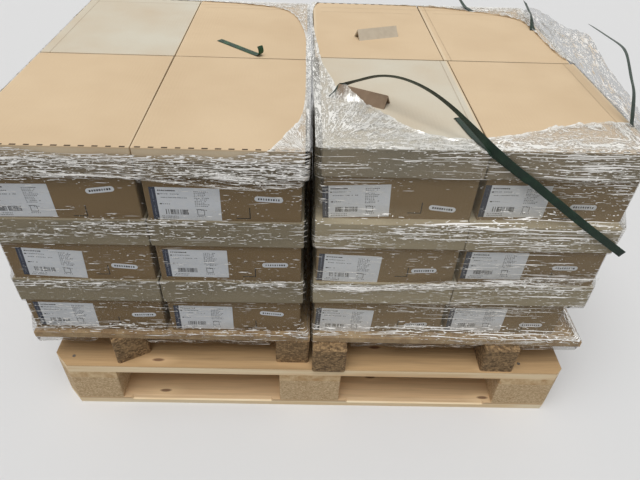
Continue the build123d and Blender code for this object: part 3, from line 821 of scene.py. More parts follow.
FINISHES = {
    # Each board's top face is set darker than its front: partly its own tone, partly painted shade under the deck and
    # load.
    "bottom_board": Timber(
        "bottom_timber", Grain.ALONG_X, srgb(255, 244, 216), srgb(238, 208, 164), top=srgb(222, 188, 146),
        shaded_top_height=BOTTOM_TOP - 0.006),
    "deck_board": Timber(
        "deck_timber", Grain.ALONG_X, srgb(255, 236, 200), srgb(228, 192, 146), top=srgb(190, 156, 112),
        shaded_top_height=BASE_DECK_TOP - 0.001),
    "board_along_y": Timber("pale_timber_y", Grain.ALONG_Y, srgb(228, 202, 160), srgb(190, 152, 106)),
    "base_chip": PressedChip("base_chip", srgb(232, 208, 170), srgb(184, 152, 112), 300.0),
    "skid_chip": PressedChip("skid_chip", srgb(172, 142, 102), srgb(84, 64, 42), 200.0),
    "deck_sheet": DeckSheet("deck_sheet", srgb(196, 168, 128), srgb(160, 130, 94)),
    # Lower lids show only skirts: painted darker than the tan top as shade; the right one paler for its film's haze.
    "left_lid_board": CartonBoard("left_lid_board", srgb(160, 148, 123), srgb(142, 130, 105)),
    "right_lid_board": CartonBoard("right_lid_board", srgb(184, 171, 143), srgb(166, 153, 125)),
    "left_top_lids": LidTops(
        "left_top_lids", LEFT, (-1, 1), LEFT_CREASES, TAN, TAN_SHADE, strip=srgb(228, 211, 183)),
    "right_top_lids": LidTops("right_top_lids", RIGHT, (-1, -1), RIGHT_CREASES, TAN, TAN_SHADE),
    "base_board": CartonBoard("base_board", BASE_TAN, BASE_SHADE),
    # Film tints: the left film's dark tint is painted shade over the fronts; the hem's is painted shade under the
    # deck.
    "left_film": FilmPlastic(
        "left_film", 0.18, srgb(84, 80, 68), 0.650, SHORT_GLINTS, LEFT_CROWDING),
    "right_film": FilmPlastic(
        "right_film", 0.22, srgb(160, 152, 132), 0.646, LONG_GLINTS, RIGHT_CROWDING, (1.04, 1.25, 0.030)),
    "lip_film": FilmPlastic(
        "lip_film", 0.40, srgb(210, 208, 200), 0.590, CRUMPLED, patchy=0.06, strength=0.75, gathered=True, wander=0.05,
        shine=srgb(240, 238, 232)),
    "collar_film": FilmPlastic(
        "collar_film", 0.42, srgb(122, 126, 128), 0.585, CRUMPLED, patchy=0.06, strength=0.85, wander=0.05),
    "hem_film": FilmPlastic(
        "hem_film", 0.42, srgb(96, 84, 68), 0.63, LONG_GLINTS, patchy=0.06),
    "band_film": FilmPlastic(
        "band_film", 0.12, srgb(190, 186, 176), 0.575, LONG_GLINTS, patchy=0.07, soft_rim=0.004),
    "strap": StrapPlastic("green_strap", srgb(14, 36, 24), srgb(30, 58, 40)),
    "light_strap": StrapPlastic("light_green_strap", srgb(16, 44, 28), srgb(48, 96, 56)),
    "brown_protector": SolidBoard("brown_board", srgb(126, 104, 82), srgb(156, 136, 112)),
    "grey_protector": SolidBoard("grey_board", srgb(196, 184, 164), srgb(166, 152, 132)),
    "label_paper": Print("label_paper", srgb(240, 244, 250), 0.5),
    "navy_print": Print("navy_print", srgb(44, 52, 72), 0.5),
    "dark_print": Print("dark_print", srgb(24, 22, 24), 0.6),
    "grey_print": Print("grey_print", srgb(52, 54, 62), 0.7),
    "pale_print": Print("pale_print", srgb(120, 128, 146), 0.6),
    "slot_shadow": Print("slot_shadow", srgb(74, 58, 42), 0.9),
    "nail_steel": Print("nail_steel", srgb(150, 146, 140), 0.42, 0.9),
}

_materials: dict[str, bpy.types.Material] = {}


def finish(name: str) -> bpy.types.Material:
    """The material of a named finish, built once.

    Args:
        name: A key of FINISHES.

    Returns:
        The Blender material.
    """
    if name not in _materials:
        _materials[name] = FINISHES[name].material()
    return _materials[name]


def linked(name: str, data: bpy.types.ID) -> bpy.types.Object:
    """Stand an object in the scene.

    Args:
        name: The object's name.
        data: Its mesh, light or camera.

    Returns:
        The object, at the origin.
    """
    obj = bpy.data.objects.new(name, data)
    bpy.context.scene.collection.objects.link(obj)
    return obj


def new_object(name: str, verts: Sequence, faces: Sequence, materials: Iterable[str]) -> bpy.types.Object:
    """Make a mesh object at the origin that rides on the load.

    Args:
        name: The piece's name.
        verts: Points in the load's frame.
        faces: Vertex numbers of each face.
        materials: Names of finishes, one for each material slot.

    Returns:
        The new object.
    """
    mesh = bpy.data.meshes.new(name)
    mesh.from_pydata([tuple(v) for v in verts], [], faces)
    mesh.update()
    for key in materials:
        mesh.materials.append(finish(key))
    return linked(name, mesh)


def carry(obj: bpy.types.Object) -> bpy.types.Object:
    """Let a piece ride on the load.

    Args:
        obj: The finished piece.

    Returns:
        The same piece.
    """
    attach(obj, "root")
    log.info("%s: %d faces", obj.name, len(obj.data.polygons))
    return obj


class Plates:
    """Collects thin upright plates, such as labels, into one mesh."""

    def __init__(self) -> None:
        """Start with nothing."""
        self.verts: list[Vector] = []
        self.faces: list[Face] = []

    def add(self, place: Matrix, outline: Sequence[Spot], thickness: float) -> None:
        """Add one plate that stands on a carton's front.

        Args:
            place: Carries the plate's x, z and its outward distance along -y to the load's frame.
            outline: Corners as x and z, anticlockwise seen from the front.
            thickness: How far the plate stands out.
        """
        start = len(self.verts)
        count = len(outline)
        for out in (0.0, -thickness):
            self.verts += [place @ Vector((x, out, z)) for x, z in outline]
        front = tuple(start + count + i for i in range(count))
        back = tuple(start + i for i in reversed(range(count)))
        self.faces += [front, back]
        for i in range(count):
            j = (i + 1) % count
            self.faces.append((start + i, start + j, start + count + j, start + count + i))

    def build(self, name: str, material: str) -> bpy.types.Object:
        """Make the collected plates one object."""
        return new_object(name, self.verts, self.faces, [material])


def rectangle(x: float, z: float, width: float, height: float) -> list[Spot]:
    """Corners of a rectangle from its lower left corner."""
    return [(x, z), (x + width, z), (x + width, z + height), (x, z + height)]


def pill(x: float, z: float, width: float, height: float, steps: int = 6) -> list[Spot]:
    """Outline of a bar with round ends.

    Args:
        x: Its lower left corner.
        z: Its lower left corner.
        width: Its whole width.
        height: Its height.
        steps: How many edges each round end has.

    Returns:
        The corners, anticlockwise.
    """
    radius = height / 2
    points = []
    for centre, start in ((x + width - radius, -90), (x + radius, 90)):
        for step in range(steps + 1):
            angle = math.radians(start + 180 * step / steps)
            points.append((centre + radius * math.cos(angle), z + radius + radius * math.sin(angle)))
    return points


class PlacingTree:
    """A node tree that sets copies of a small shape, with named inputs for its sizes."""

    INPUTS: dict[str, str] = {}

    def __init__(self, name: str) -> None:
        """Build the tree.

        Args:
            name: The tree's name.
        """
        self.tree = bpy.data.node_groups.new(name, "GeometryNodeTree")
        writer = NodeWriter(self.tree)
        kinds = {"Geometry": "Geometry", **self.INPUTS, "Material": "Material"}
        for label, kind in kinds.items():
            self.tree.interface.new_socket(name=label, in_out="INPUT", socket_type=f"NodeSocket{kind}")
        self.tree.interface.new_socket(name="Geometry", in_out="OUTPUT", socket_type="NodeSocketGeometry")
        given = writer.add("NodeGroupInput").outputs
        placed = writer.add("GeometryNodeInstanceOnPoints", self.copies(writer, given)).outputs[0]
        real = writer.add("GeometryNodeRealizeInstances", {0: placed}).outputs[0]
        dressed = writer.add("GeometryNodeSetMaterial", {"Geometry": real, "Material": given["Material"]})
        writer.add("NodeGroupOutput", {0: dressed.outputs[0]})

    def copies(self, writer: NodeWriter, given: Sequence[Socket]) -> dict[str, Socket]:
        """Write the nodes that say what is set where; each kind of tree has its own."""
        raise NotImplementedError

    def run(self, name: str, mesh: bpy.types.Mesh, values: dict[str, object]) -> bpy.types.Object:
        """Run the tree over a mesh.

        Args:
            name: The piece's name.
            mesh: The lines or points that copies are set on.
            values: A value for each named input.

        Returns:
            The piece, with what the tree makes as its own plain mesh.
        """
        obj = linked(name, mesh)
        modifier = obj.modifiers.new("copies", "NODES")
        modifier.node_group = self.tree
        identifiers = {s.name: s.identifier for s in self.tree.interface.items_tree if s.in_out == "INPUT"}
        for label, value in values.items():
            modifier[identifiers[label]] = value
        bpy.context.view_layer.update()
        graph = bpy.context.evaluated_depsgraph_get()
        made = bpy.data.meshes.new_from_object(obj.evaluated_get(graph))
        obj.modifiers.clear()
        obj.data = made
        return obj


class MarkTree(PlacingTree):
    """Sets small boxes along lines: slot shadows, bars, dashes and rows of words."""

    INPUTS = {
        "Spacing": "Float", "Least width": "Float", "Kept share": "Float", "Mark size": "Vector", "Seed": "Int",
    }

    def copies(self, writer: NodeWriter, given: Sequence[Socket]) -> dict[str, Socket]:
        """Space the boxes along the lines, with random widths and gaps.

        Args:
            writer: Writes the tree.
            given: The tree's inputs.

        Returns:
            The inputs of the node that sets the copies.
        """
        curve = writer.add("GeometryNodeMeshToCurve", {0: given["Geometry"]}).outputs[0]
        resample = writer.add("GeometryNodeResampleCurve", {"Curve": curve, "Length": given["Spacing"]}, mode="LENGTH")
        along = writer.add("GeometryNodeInputTangent").outputs[0]
        turn = writer.add("FunctionNodeAlignRotationToVector", {"Vector": along}, axis="X", pivot_axis="Z")
        width = self.random(writer, given["Seed"], given["Least width"])
        chance = self.random(writer, writer.math("ADD", given["Seed"], 7.0), 0.0)
        return {
            "Points": resample.outputs[0],
            "Selection": writer.math("LESS_THAN", chance, given["Kept share"]),
            "Instance": writer.add("GeometryNodeMeshCube", {"Size": given["Mark size"]}).outputs[0],
            "Rotation": turn.outputs[0],
            "Scale": writer.add("ShaderNodeCombineXYZ", {0: width, 1: 1.0, 2: 1.0}).outputs[0],
        }

    @staticmethod
    def random(writer: NodeWriter, seed: Value, low: Value) -> Socket:
        """Draw a random number for each point.

        Args:
            writer: Writes the tree.
            seed: The seed.
            low: The lowest number; the highest is 1.

        Returns:
            The numbers.
        """
        node = writer.add("FunctionNodeRandomValue", data_type="FLOAT")
        for label, value in (("Min", low), ("Max", 1.0), ("Seed", seed)):
            writer.put(next(s for s in node.inputs if s.name == label and s.enabled), value)
        return next(s for s in node.outputs if s.enabled)


class NailTree(PlacingTree):
    """Sets a round nail head on every point."""

    INPUTS = {"Head radius": "Float", "Head height": "Float"}
    HEAD_SIDES = 14

    def copies(self, writer: NodeWriter, given: Sequence[Socket]) -> dict[str, Socket]:
        """Set one head on each point.

        Args:
            writer: Writes the tree.
            given: The tree's inputs.

        Returns:
            The inputs of the node that sets the copies.
        """
        inputs = {"Vertices": self.HEAD_SIDES, "Radius": given["Head radius"], "Depth": given["Head height"]}
        head = writer.add("GeometryNodeMeshCylinder", inputs).outputs[0]
        points = writer.add("GeometryNodeMeshToPoints", {0: given["Geometry"]}).outputs[0]
        return {"Points": points, "Instance": head}


@dataclass
class Marks:
    """Rows of small boxes of one kind, set along straight lines."""

    name: str
    material: str
    slot: str
    spacing: float
    size: Point
    least_width: float = 1.0
    kept: float = 1.0
    seed: int = 3
    lines: list[tuple[Vector, Vector]] = field(default_factory=list)

    def add(self, place: Matrix, start: Point, end: Point) -> None:
        """Add one line, given in the axes of what it lies on."""
        self.lines.append((place @ Vector(start), place @ Vector(end)))

    def build(self, tree: MarkTree) -> bpy.types.Object:
        """Run the tree over the lines and keep the result as a plain mesh.

        Args:
            tree: The shared node tree.

        Returns:
            The finished piece.
        """
        mesh = bpy.data.meshes.new(self.name)
        verts = [tuple(point) for line in self.lines for point in line]
        mesh.from_pydata(verts, [(2 * i, 2 * i + 1) for i in range(len(self.lines))], [])
        values = {
            "Spacing": self.spacing,
            "Least width": self.least_width,
            "Kept share": self.kept,
            "Mark size": self.size,
            "Seed": self.seed,
            "Material": finish(self.material),
        }
        return carry(tree.run(self.name, mesh, values))


@dataclass
class BasePallet:
    """The flat pallet of boards and blocks that carries everything."""

    head_radius: float = 0.0038
    head_height: float = 0.0008
    edge_distance: float = 0.028
    deck_boards: tuple[str, ...] = ("front", "front_inner", "centre", "back_inner", "back")
    columns: tuple[str, ...] = ("left", "middle", "right")

    def dress(self) -> None:
        """Give every board and block its timber."""
        for node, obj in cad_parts.items():
            if node.startswith("base_block"):
                wear(obj, "base_chip")
            elif node.startswith("base_cross"):
                wear(obj, "board_along_y")
            elif node.startswith("base_deck"):
                wear(obj, "deck_board")
            elif node.startswith("base_"):
                wear(obj, "bottom_board")

    def nail_points(self) -> list[Point]:
        """Two nails where each deck board crosses each cross board.

        Returns:
            A point on the deck for each nail.
        """
        points = []
        for column in self.columns:
            low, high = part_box(f"base_cross_board_{column}")
            middle = (low.x + high.x) / 2
            for board in self.deck_boards:
                near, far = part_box(f"base_deck_board_{board}")
                for side_x, y in ((-1, near.y + self.edge_distance), (1, far.y - self.edge_distance)):
                    points.append((middle + side_x * self.edge_distance, y, far.z))
        return points

    def nails(self) -> bpy.types.Object:
        """Set the nail heads on the deck.

        Returns:
            The piece that holds them all.
        """
        mesh = bpy.data.meshes.new("base_deck_nails")
        mesh.from_pydata(self.nail_points(), [], [])
        values = {
            "Head radius": self.head_radius, "Head height": self.head_height, "Material": finish("nail_steel"),
        }
        return carry(NailTree("nail_heads").run("base_deck_nails", mesh, values))


def wear(obj: bpy.types.Object, key: str) -> None:
    """Give a node of the solids one finish, leaving its mesh as it is.

    Args:
        obj: The node's object.
        key: The finish.
    """
    while len(obj.material_slots) < 1:
        obj.data.materials.append(None)
    for slot in obj.material_slots:
        slot.material = finish(key)


@dataclass
class SmallPallets:
    """The two small pallets under the stacks."""

    def dress(self) -> None:
        """Give decks and blocks their finishes."""
        for node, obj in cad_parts.items():
            if node.endswith("skid_deck"):
                wear(obj, "deck_sheet")
            elif "skid_block" in node:
                wear(obj, "skid_chip")


@dataclass(frozen=True)
class LabelSpot:
    """Where one carton's labels are stuck, in millimetres and degrees.

    Distances run from the lid's left edge and from the carton's underside. The large label is given by the
    lower left corner of its paper, the small one by its middle, and the corner mark by its foot.
    """

    layer: int
    cell: int
    paper: tuple[float, float, float]
    pill: tuple[float, float, float]
    mark: tuple[float, float]


@dataclass(frozen=True)
class Label:
    """Sizes of the large label, the small one and the printed corner mark."""

    strip_width: float = 0.0115
    width: float = 0.116
    height: float = 0.074
    thickness: float = 0.0003
    print_depth: float = 0.0002
    pill_width: float = 0.053
    pill_height: float = 0.012
    mark_height: float = 0.026
    mark_length: float = 0.025
    mark_line: float = 0.0018
    picture_spot: tuple[float, float] = (0.0715, 0.0125)
    picture_size: float = 0.0125
    picture_line: float = 0.0008
    strip_middle: float = 0.0058
    strip_margin: float = 0.006
    pill_margin: float = 0.008

    def picture(self) -> list[list[Spot]]:
        """Four thin bars that frame the empty place of a small picture.

        Returns:
            The outline of each bar.
        """
        (x, z), size, line = self.picture_spot, self.picture_size, self.picture_line
        level = [rectangle(x, z + rise, size, line) for rise in (0.0, size)]
        return level + [rectangle(x + shift, z, line, size) for shift in (0.0, size)]


LABEL_ROWS = {
    "bars": ((0.014, 0.054, 0.019),),
    "headings": ((0.005, 0.034, 0.067), (0.004, 0.0055, 0.059), (0.006, 0.0075, 0.037)),
    "words": (
        (0.010, 0.040, 0.0595), (0.009, 0.054, 0.0515), (0.011, 0.022, 0.037),
        *((0.070, 0.094 - 0.003 * (row % 4), 0.066 - 0.0036 * row) for row in range(10)),
        *((0.006, 0.034, 0.0085 - 0.004 * row) for row in range(2)),
        (0.071, 0.086, 0.009), (0.071, 0.078, 0.026), (0.080, 0.088, 0.024),
    ),
}
LEFT_LABELS = (
    LabelSpot(2, 0, (20, 1, 1), (227, 66, 8), (191, 5)),
    LabelSpot(2, 1, (26.5, 1, -0.5), (232, 52, -3), (195, 6)),
    LabelSpot(1, 0, (38, 9, -3.5), (234.5, 36.5, -5), (200, 13)),
    LabelSpot(1, 1, (28, 10.5, -0.5), (240, 46, 1), (198, 12)),
    LabelSpot(0, 0, (28, 12, -1.2), (249.5, 50, 2), (191.5, 16)),
    LabelSpot(0, 1, (26.5, 7, -1), (229.5, 58, -6), (192.5, 9)),
)
RIGHT_LABELS = (
    LabelSpot(2, 0, (17, 1, 2.5), (234, 26, -7), (193, 14)),
    LabelSpot(2, 1, (17, 8, 0), (206, 34, -1), (192, 6)),
    LabelSpot(1, 0, (18, 3, -3), (228, 35, 2), (194, 17)),
    LabelSpot(1, 1, (19, 15, 0), (220, 50, 0), (196, 12)),
    LabelSpot(0, 0, (17, 2, -3), (235, 25, 6), (194, 12)),
    LabelSpot(0, 1, (17, 9, 0), (199, 30, 0), (180, 8)),
)


@dataclass
class Cartons:
    """The cartons of one stack: their board, their labels and the perforated folds of their lids."""

    stack: Stack
    spots: tuple[LabelSpot, ...]
    label: Label = field(default_factory=Label)
    slots_from_fold: float = 0.0022
    slots_from_end: float = 0.012

    def dress(self) -> None:
        """Give lids and bases their board."""
        for layer in range(CARTON.layers):
            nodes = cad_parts
            wear(nodes[f"{self.stack.name}_layer_{layer + 1}_bases"], "base_board")
            top = layer == CARTON.layers - 1
            # The lower lids get a board that is painted darker as shade.
            key = f"{self.stack.name}_top_lids" if top else f"{self.stack.name}_lid_board"
            wear(nodes[f"{self.stack.name}_layer_{layer + 1}_lids"], key)

    def front(self, spot: LabelSpot) -> Matrix:
        """A carton's front face: x from the lid's left edge, z from the underside, both in metres."""
        face_y = -(CARTON.lid_y / 2 - CARTON.inset)
        return self.stack.carton_place(spot.layer, spot.cell) @ Matrix.Translation((-CARTON.lid_x / 2, face_y, 0))

    def tilted(self, spot: LabelSpot, x: float, z: float, degrees: float) -> Matrix:
        """A place on a carton's front with its own tilt, from millimetres."""
        shift = Matrix.Translation((x / 1000, 0, z / 1000))
        return self.front(spot) @ shift @ Matrix.Rotation(math.radians(-degrees), 4, "Y")

    def papers(self) -> None:
        """Stick the white papers, their navy strips and the printed corner marks on the cartons."""
        size = self.label
        papers, strips, marks = Plates(), Plates(), Plates()
        for spot in self.spots:
            paper = self.tilted(spot, *spot.paper)
            papers.add(paper, rectangle(0, 0, size.width, size.height), size.thickness)
            strips.add(paper, rectangle(-size.strip_width, 0, size.strip_width, size.height), size.thickness)
            middle = self.tilted(spot, *spot.pill)
            outline = pill(-size.pill_width / 2, -size.pill_height / 2, size.pill_width, size.pill_height)
            papers.add(middle, outline, size.thickness)
            corner = self.tilted(spot, *spot.mark, 0)
            marks.add(corner, rectangle(-size.mark_length, 0, size.mark_length, size.mark_line), size.thickness / 2)
            marks.add(corner, rectangle(0, 0, size.mark_line, size.mark_height), size.thickness / 2)
            for box in size.picture():
                marks.add(paper, box, size.thickness + size.print_depth)
        name = self.stack.name
        carry(papers.build(f"{name}_label_papers", "label_paper"))
        carry(strips.build(f"{name}_label_strips", "navy_print"))
        carry(marks.build(f"{name}_corner_marks", "dark_print"))

    def print(self, tree: MarkTree) -> None:
        """Print bars, dashes and rows of words on the labels.

        Args:
            tree: The shared node tree.
        """
        size = self.label
        out = -size.thickness
        deep = size.print_depth
        kinds = {
            "bars": Marks("bars", "dark_print", "carton_board", 0.0022, (0.0017, deep, 0.0115), 0.35, 0.86),
            "words": Marks("words", "grey_print", "carton_board", 0.0031, (0.0027, deep, 0.0013), 0.5, 0.9),
            "headings": Marks("headings", "dark_print", "carton_board", 0.0036, (0.0033, deep, 0.0024), 0.6, 0.95),
            "dashes": Marks("dashes", "dark_print", "carton_board", 0.0042, (0.0034, deep, 0.0042), 0.45),
            "strips": Marks("strips", "pale_print", "carton_board", 0.0030, (0.0024, deep, 0.0022), 0.5, 0.8),
        }
        for spot in self.spots:
            paper = self.tilted(spot, *spot.paper)
            for kind, rows in LABEL_ROWS.items():
                for start, end, z in rows:
                    kinds[kind].add(paper, (start, out, z), (end, out, z))
            x, margin = -size.strip_middle, size.strip_margin
            kinds["strips"].add(paper, (x, out, margin), (x, out, size.height - margin))
            middle = self.tilted(spot, *spot.pill)
            half = size.pill_width / 2 - size.pill_margin
            kinds["dashes"].add(middle, (-half, out, 0), (half, out, 0))
        for marks in kinds.values():
            marks.name = f"{self.stack.name}_label_{marks.name}"
            marks.build(tree)

    def perforations(self, tree: MarkTree) -> None:
        """Lay a row of thin dark boxes along the top lids' front and back folds: painted shadow of the short slots.

        Args:
            tree: The shared node tree.
        """
        layer = CARTON.layers - 1
        top = CARTON.height + 0.0001
        half_x = CARTON.lid_x / 2
        half_y = CARTON.lid_y / 2
        name = f"{self.stack.name}_fold_slots"
        # Painted shadow: dark boxes stand for the slots' hollows.
        slots = Marks(name, "slot_shadow", "lid_board", 0.0215, (0.0110, 0.0034, 0.0004), 0.8)
        for cell in range(4):
            place = self.stack.carton_place(layer, cell)
            y = self.slots_from_fold - half_y if cell < 2 else half_y - self.slots_from_fold
            slots.add(place, (self.slots_from_end - half_x, y, top), (half_x - self.slots_from_end, y, top))
        slots.build(tree)


@dataclass(frozen=True)
class Outline:
    """A level rectangle in some axes: half sizes and a shift along x."""

    place: Matrix
    half_x: float
    half_y: float
    shift: float = 0.0

    def corners(self) -> list[Vector]:
        """The four corners in the load's frame."""
        spots = [(self.shift + a * self.half_x, b * self.half_y, 0) for a in (-1, 1) for b in (-1, 1)]
        return [self.place @ Vector(spot) for spot in spots]


@dataclass(frozen=True)
class Level:
    """One height of the film, with the outlines that it has to go round."""

    place: Matrix
    outlines: tuple[Outline, ...]
    z: float


@dataclass(frozen=True)
class Ripple:
    """One size of wrinkle: how many come to a metre along and across, a seed of its own, and its weight."""

    along: float
    across: float
    seed: float
    weight: float = 1.0

    def at(self, along: float, across: float = 1.0) -> float:
        """How high it stands at a place, about -1 to 1 times its weight."""
        return self.weight * noise.noise(Vector((along * self.along, across * self.across, self.seed)))


def height_of(ripples: Sequence[Ripple], along: float, across: float) -> float:
    """How high several sizes of wrinkle stand together at a place."""
    return sum(ripple.at(along, across) for ripple in ripples)


FRONT_DROP = Ripple(14, 0.3, 0, 0.004)
LIP_RIPPLES = (Ripple(34, 48, 3.0), Ripple(90, 120, 8.0, 0.8))
LIP_ROLL = Ripple(30, 5.0, 1.0, 0.5)
BAND_FOLDS = (Ripple(60, 4, 6.0), Ripple(150, 9, 3.0, 0.5))
BAND_WIDTH = Ripple(22, 2.0, 4.0, 0.35)
HEM_DEPTH = Ripple(12, 2.0, 7.0, 0.5)
HEM_SWAY = Ripple(20, 3, 1.0, 0.0015)
COLLAR_EDGE = Ripple(40, 1.0, 1.0, 0.10)
COLLAR_FOLDS = (Ripple(26, 5, 4.0), Ripple(70, 9, 2.0, 0.6))


@dataclass
class StretchFilm:
    """The film round one stack: wall, lip on the top, hem under the deck and gathered bands."""

    stack: Stack
    gap: float = 0.0011
    flare: float = 0.026
    deck_flare: float = 0.045
    undercut: float = 0.006
    corner: float = 0.006
    columns_x: int = 56
    columns_y: int = 66
    row_height: float = 0.0095
    wrinkle: float = 0.0011
    lip_rows: int = 28
    hem_depth: float = 0.021
    front_drop: float = 0.0115
    ear: float = 0.7
    sag: float = 0.35
    apart: float = 0.0012
    bulge: float = 0.011
    foot: float = 0.002
    drop_from: float = 0.86
    drop_left: Spot = (-0.255, 0.16)
    drop_right: Spot = (0.225, 0.06)
    rest: float = 0.0009
    roll: float = 0.9
    roll_from: float = 0.8
    tent_gap: float = 0.001
    tent_end: float = 0.012
    tent_reach: float = 0.021
    tent_widening: float = 0.020
    strap_clear: float = 0.009
    strap_fade: float = 0.014
    fan_width: float = 0.12
    opening_steps: int = 12
    band_steps: int = 130
    band_rows: int = 10
    band_taper: int = 16
    hem_rows: int = 5

    def deck(self) -> Outline:
        """The outline of the small pallet's deck.

        Returns:
            Its rectangle, square with the load.
        """
        low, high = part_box(f"{self.stack.name}_skid_deck")
        middle = Matrix.Translation(((low.x + high.x) / 2, (low.y + high.y) / 2, 0))
        return Outline(middle, (high.x - low.x) / 2, (high.y - low.y) / 2)

    def base(self, layer: int) -> Outline:
        """The outline round the carton bases of one layer.

        Args:
            layer: 0 for the lowest layer.

        Returns:
            Their rectangle in the layer's axes.
        """
        slip = CARTON.top_slip if self.stack.slips(layer) else 0.0
        pushed = self.stack.pushed_in / 2 if layer == 0 else 0.0
        half_x = CARTON.pitch_x - CARTON.inset + slip - pushed
        return Outline(self.stack.layer_place(layer), half_x, CARTON.pitch_y - CARTON.inset, -pushed)

    def lid(self, layer: int) -> Outline:
        """The outline round the lids of one layer."""
        slip = CARTON.top_slip if self.stack.slips(layer) else 0.0
        return Outline(self.stack.layer_place(layer), CARTON.pitch_x + slip, CARTON.pitch_y)

    def levels(self) -> list[Level]:
        """The heights that the film bends at, from the deck to the top.

        Returns:
            The levels from the bottom up.
        """
        deck = self.deck()
        low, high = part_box(f"{self.stack.name}_skid_deck")
        foot = (deck, self.base(0))
        levels = [Level(deck.place, foot, low.z + self.foot), Level(deck.place, foot, high.z)]
        for layer in range(CARTON.layers):
            floor = DECK_TOP + layer * CARTON.height
            skirt = floor + CARTON.height - CARTON.skirt
            place = self.stack.layer_place(layer)
            above = (self.lid(layer),)
            if layer < CARTON.layers - 1:
                above += (self.base(layer + 1),)
            flare = self.deck_flare if layer == 0 else self.flare
            levels.append(Level(place, (self.base(layer),), floor + flare))
            levels.append(Level(place, (self.base(layer),), skirt - self.undercut))
            levels.append(Level(place, (self.lid(layer),), skirt))
            levels.append(Level(place, above, floor + CARTON.height))
        return levels

    def loop(self, level: Level) -> list[tuple[Vector, Vector]]:
        """Points round one level with their outward directions, from the back left corner.

        Args:
            level: The height and its outlines.

        Returns:
            One point and direction for each column of the film, at the level's height.
        """
        inverse = level.place.inverted()
        spots = [inverse @ corner for outline in level.outlines for corner in outline.corners()]
        low_x = min(s.x for s in spots) - self.gap
        high_x = max(s.x for s in spots) + self.gap
        low_y = min(s.y for s in spots) - self.gap
        high_y = max(s.y for s in spots) + self.gap
        r = self.corner
        sides = (
            ((low_x, high_y - r), (low_x, low_y + r), (-1, 0), self.columns_y),
            ((low_x + r, low_y), (high_x - r, low_y), (0, -1), self.columns_x),
            ((high_x, low_y + r), (high_x, high_y - r), (1, 0), self.columns_y),
            ((high_x - r, high_y), (low_x + r, high_y), (0, 1), self.columns_x),
        )
        turn = level.place.to_3x3()
        loop = []
        for start, end, normal, count in sides:
            for step in range(count + 1):
                part = step / count
                x = start[0] + (end[0] - start[0]) * part
                y = start[1] + (end[1] - start[1]) * part
                loop.append((level.place @ Vector((x, y, level.z)), turn @ Vector((*normal, 0))))
        return loop

    def rows(self) -> list[list[tuple[Vector, Vector]]]:
        """All rows of the wall from the bottom up, straight between the levels.

        Returns:
            For each row, a point and its outward direction for each column.
        """
        loops = [self.loop(level) for level in self.levels()]
        heights = [level.z for level in self.levels()]
        rows = [loops[0]]
        for below, above, low, high in zip(loops, loops[1:], heights, heights[1:]):
            count = max(1, round((high - low) / self.row_height))
            for step in range(1, count + 1):
                part = step / count
                pairs = zip(below, above)
                rows.append([(a[0].lerp(b[0], part), a[1]) for a, b in pairs])
        return [[(self.bulged(point, normal), normal) for point, normal in row] for row in rows]

    def bulged(self, point: Vector, normal: Vector) -> Vector:
        """Move a point of the inner side out into the gap between the stacks, where the film stands off.

        Args:
            point: A point of the wall, tight on the cartons.
            normal: The wall's outward direction there.

        Returns:
            The point, moved at most to the middle of the gap and sagging a little at the top.
        """
        if normal.x * self.stack.side.value > -0.5:
            return point
        top = CARTON.layers - 1
        edges = [stack.layer_place(top) @ Vector((-stack.side.value * (CARTON.pitch_x + CARTON.top_slip), y, 0))
                 for stack in (LEFT, RIGHT) for y in (-CARTON.pitch_y, CARTON.pitch_y)]
        along = (point.y - edges[0].y) / (edges[1].y - edges[0].y)
        middle = (edges[0].lerp(edges[1], along).x + edges[2].lerp(edges[3], along).x) / 2
        room = max(0.0, abs(middle - point.x) - self.apart)
        over_top = smooth((point.z - LOAD_TOP + 0.05) / 0.045) * (0.45 + 0.55 * smooth((point.y + 0.25) / 0.2))
        rise = (point.z - DECK_TOP) % CARTON.height
        skirt = CARTON.height - CARTON.skirt
        ears = self.ear * smooth((rise - skirt + 0.012) / 0.018) * (0.8 + 0.4 * noise.noise(point * 9))
        share = max(over_top, min(1.0, ears)) if point.z > DECK_TOP + 0.02 else 0.0
        move = share * min(room, self.bulge)
        return point + normal * move - Vector((0, 0, self.sag * move * over_top))

    def run(self, loop: list[tuple[Vector, Vector]]) -> list[float]:
        """Distance of each column from the first, round the loop.

        Args:
            loop: Points and directions of one row.

        Returns:
            One distance a column, and the whole way round.
        """
        total = [0.0]
        for a, b in zip(loop, loop[1:] + loop[:1]):
            total.append(total[-1] + (b[0] - a[0]).length)
        return total

    def dropped(self, point: Vector) -> float:
        """How far the wall's top edge hangs below the lids at a column.

        Args:
            point: The column's place.

        Returns:
            The distance, which is 0 on the right stack.
        """
        if self.stack.side is StackSide.RIGHT:
            return 0.0
        spot = self.stack.layer_place(CARTON.layers - 1).inverted() @ point
        if spot.y > -CARTON.pitch_y + 0.02:
            return 0.0
        fade = smooth((spot.x - self.drop_left[0]) / self.drop_left[1])
        fade *= smooth((self.drop_right[0] - spot.x) / self.drop_right[1])
        return fade * (self.front_drop + FRONT_DROP.at(spot.x))

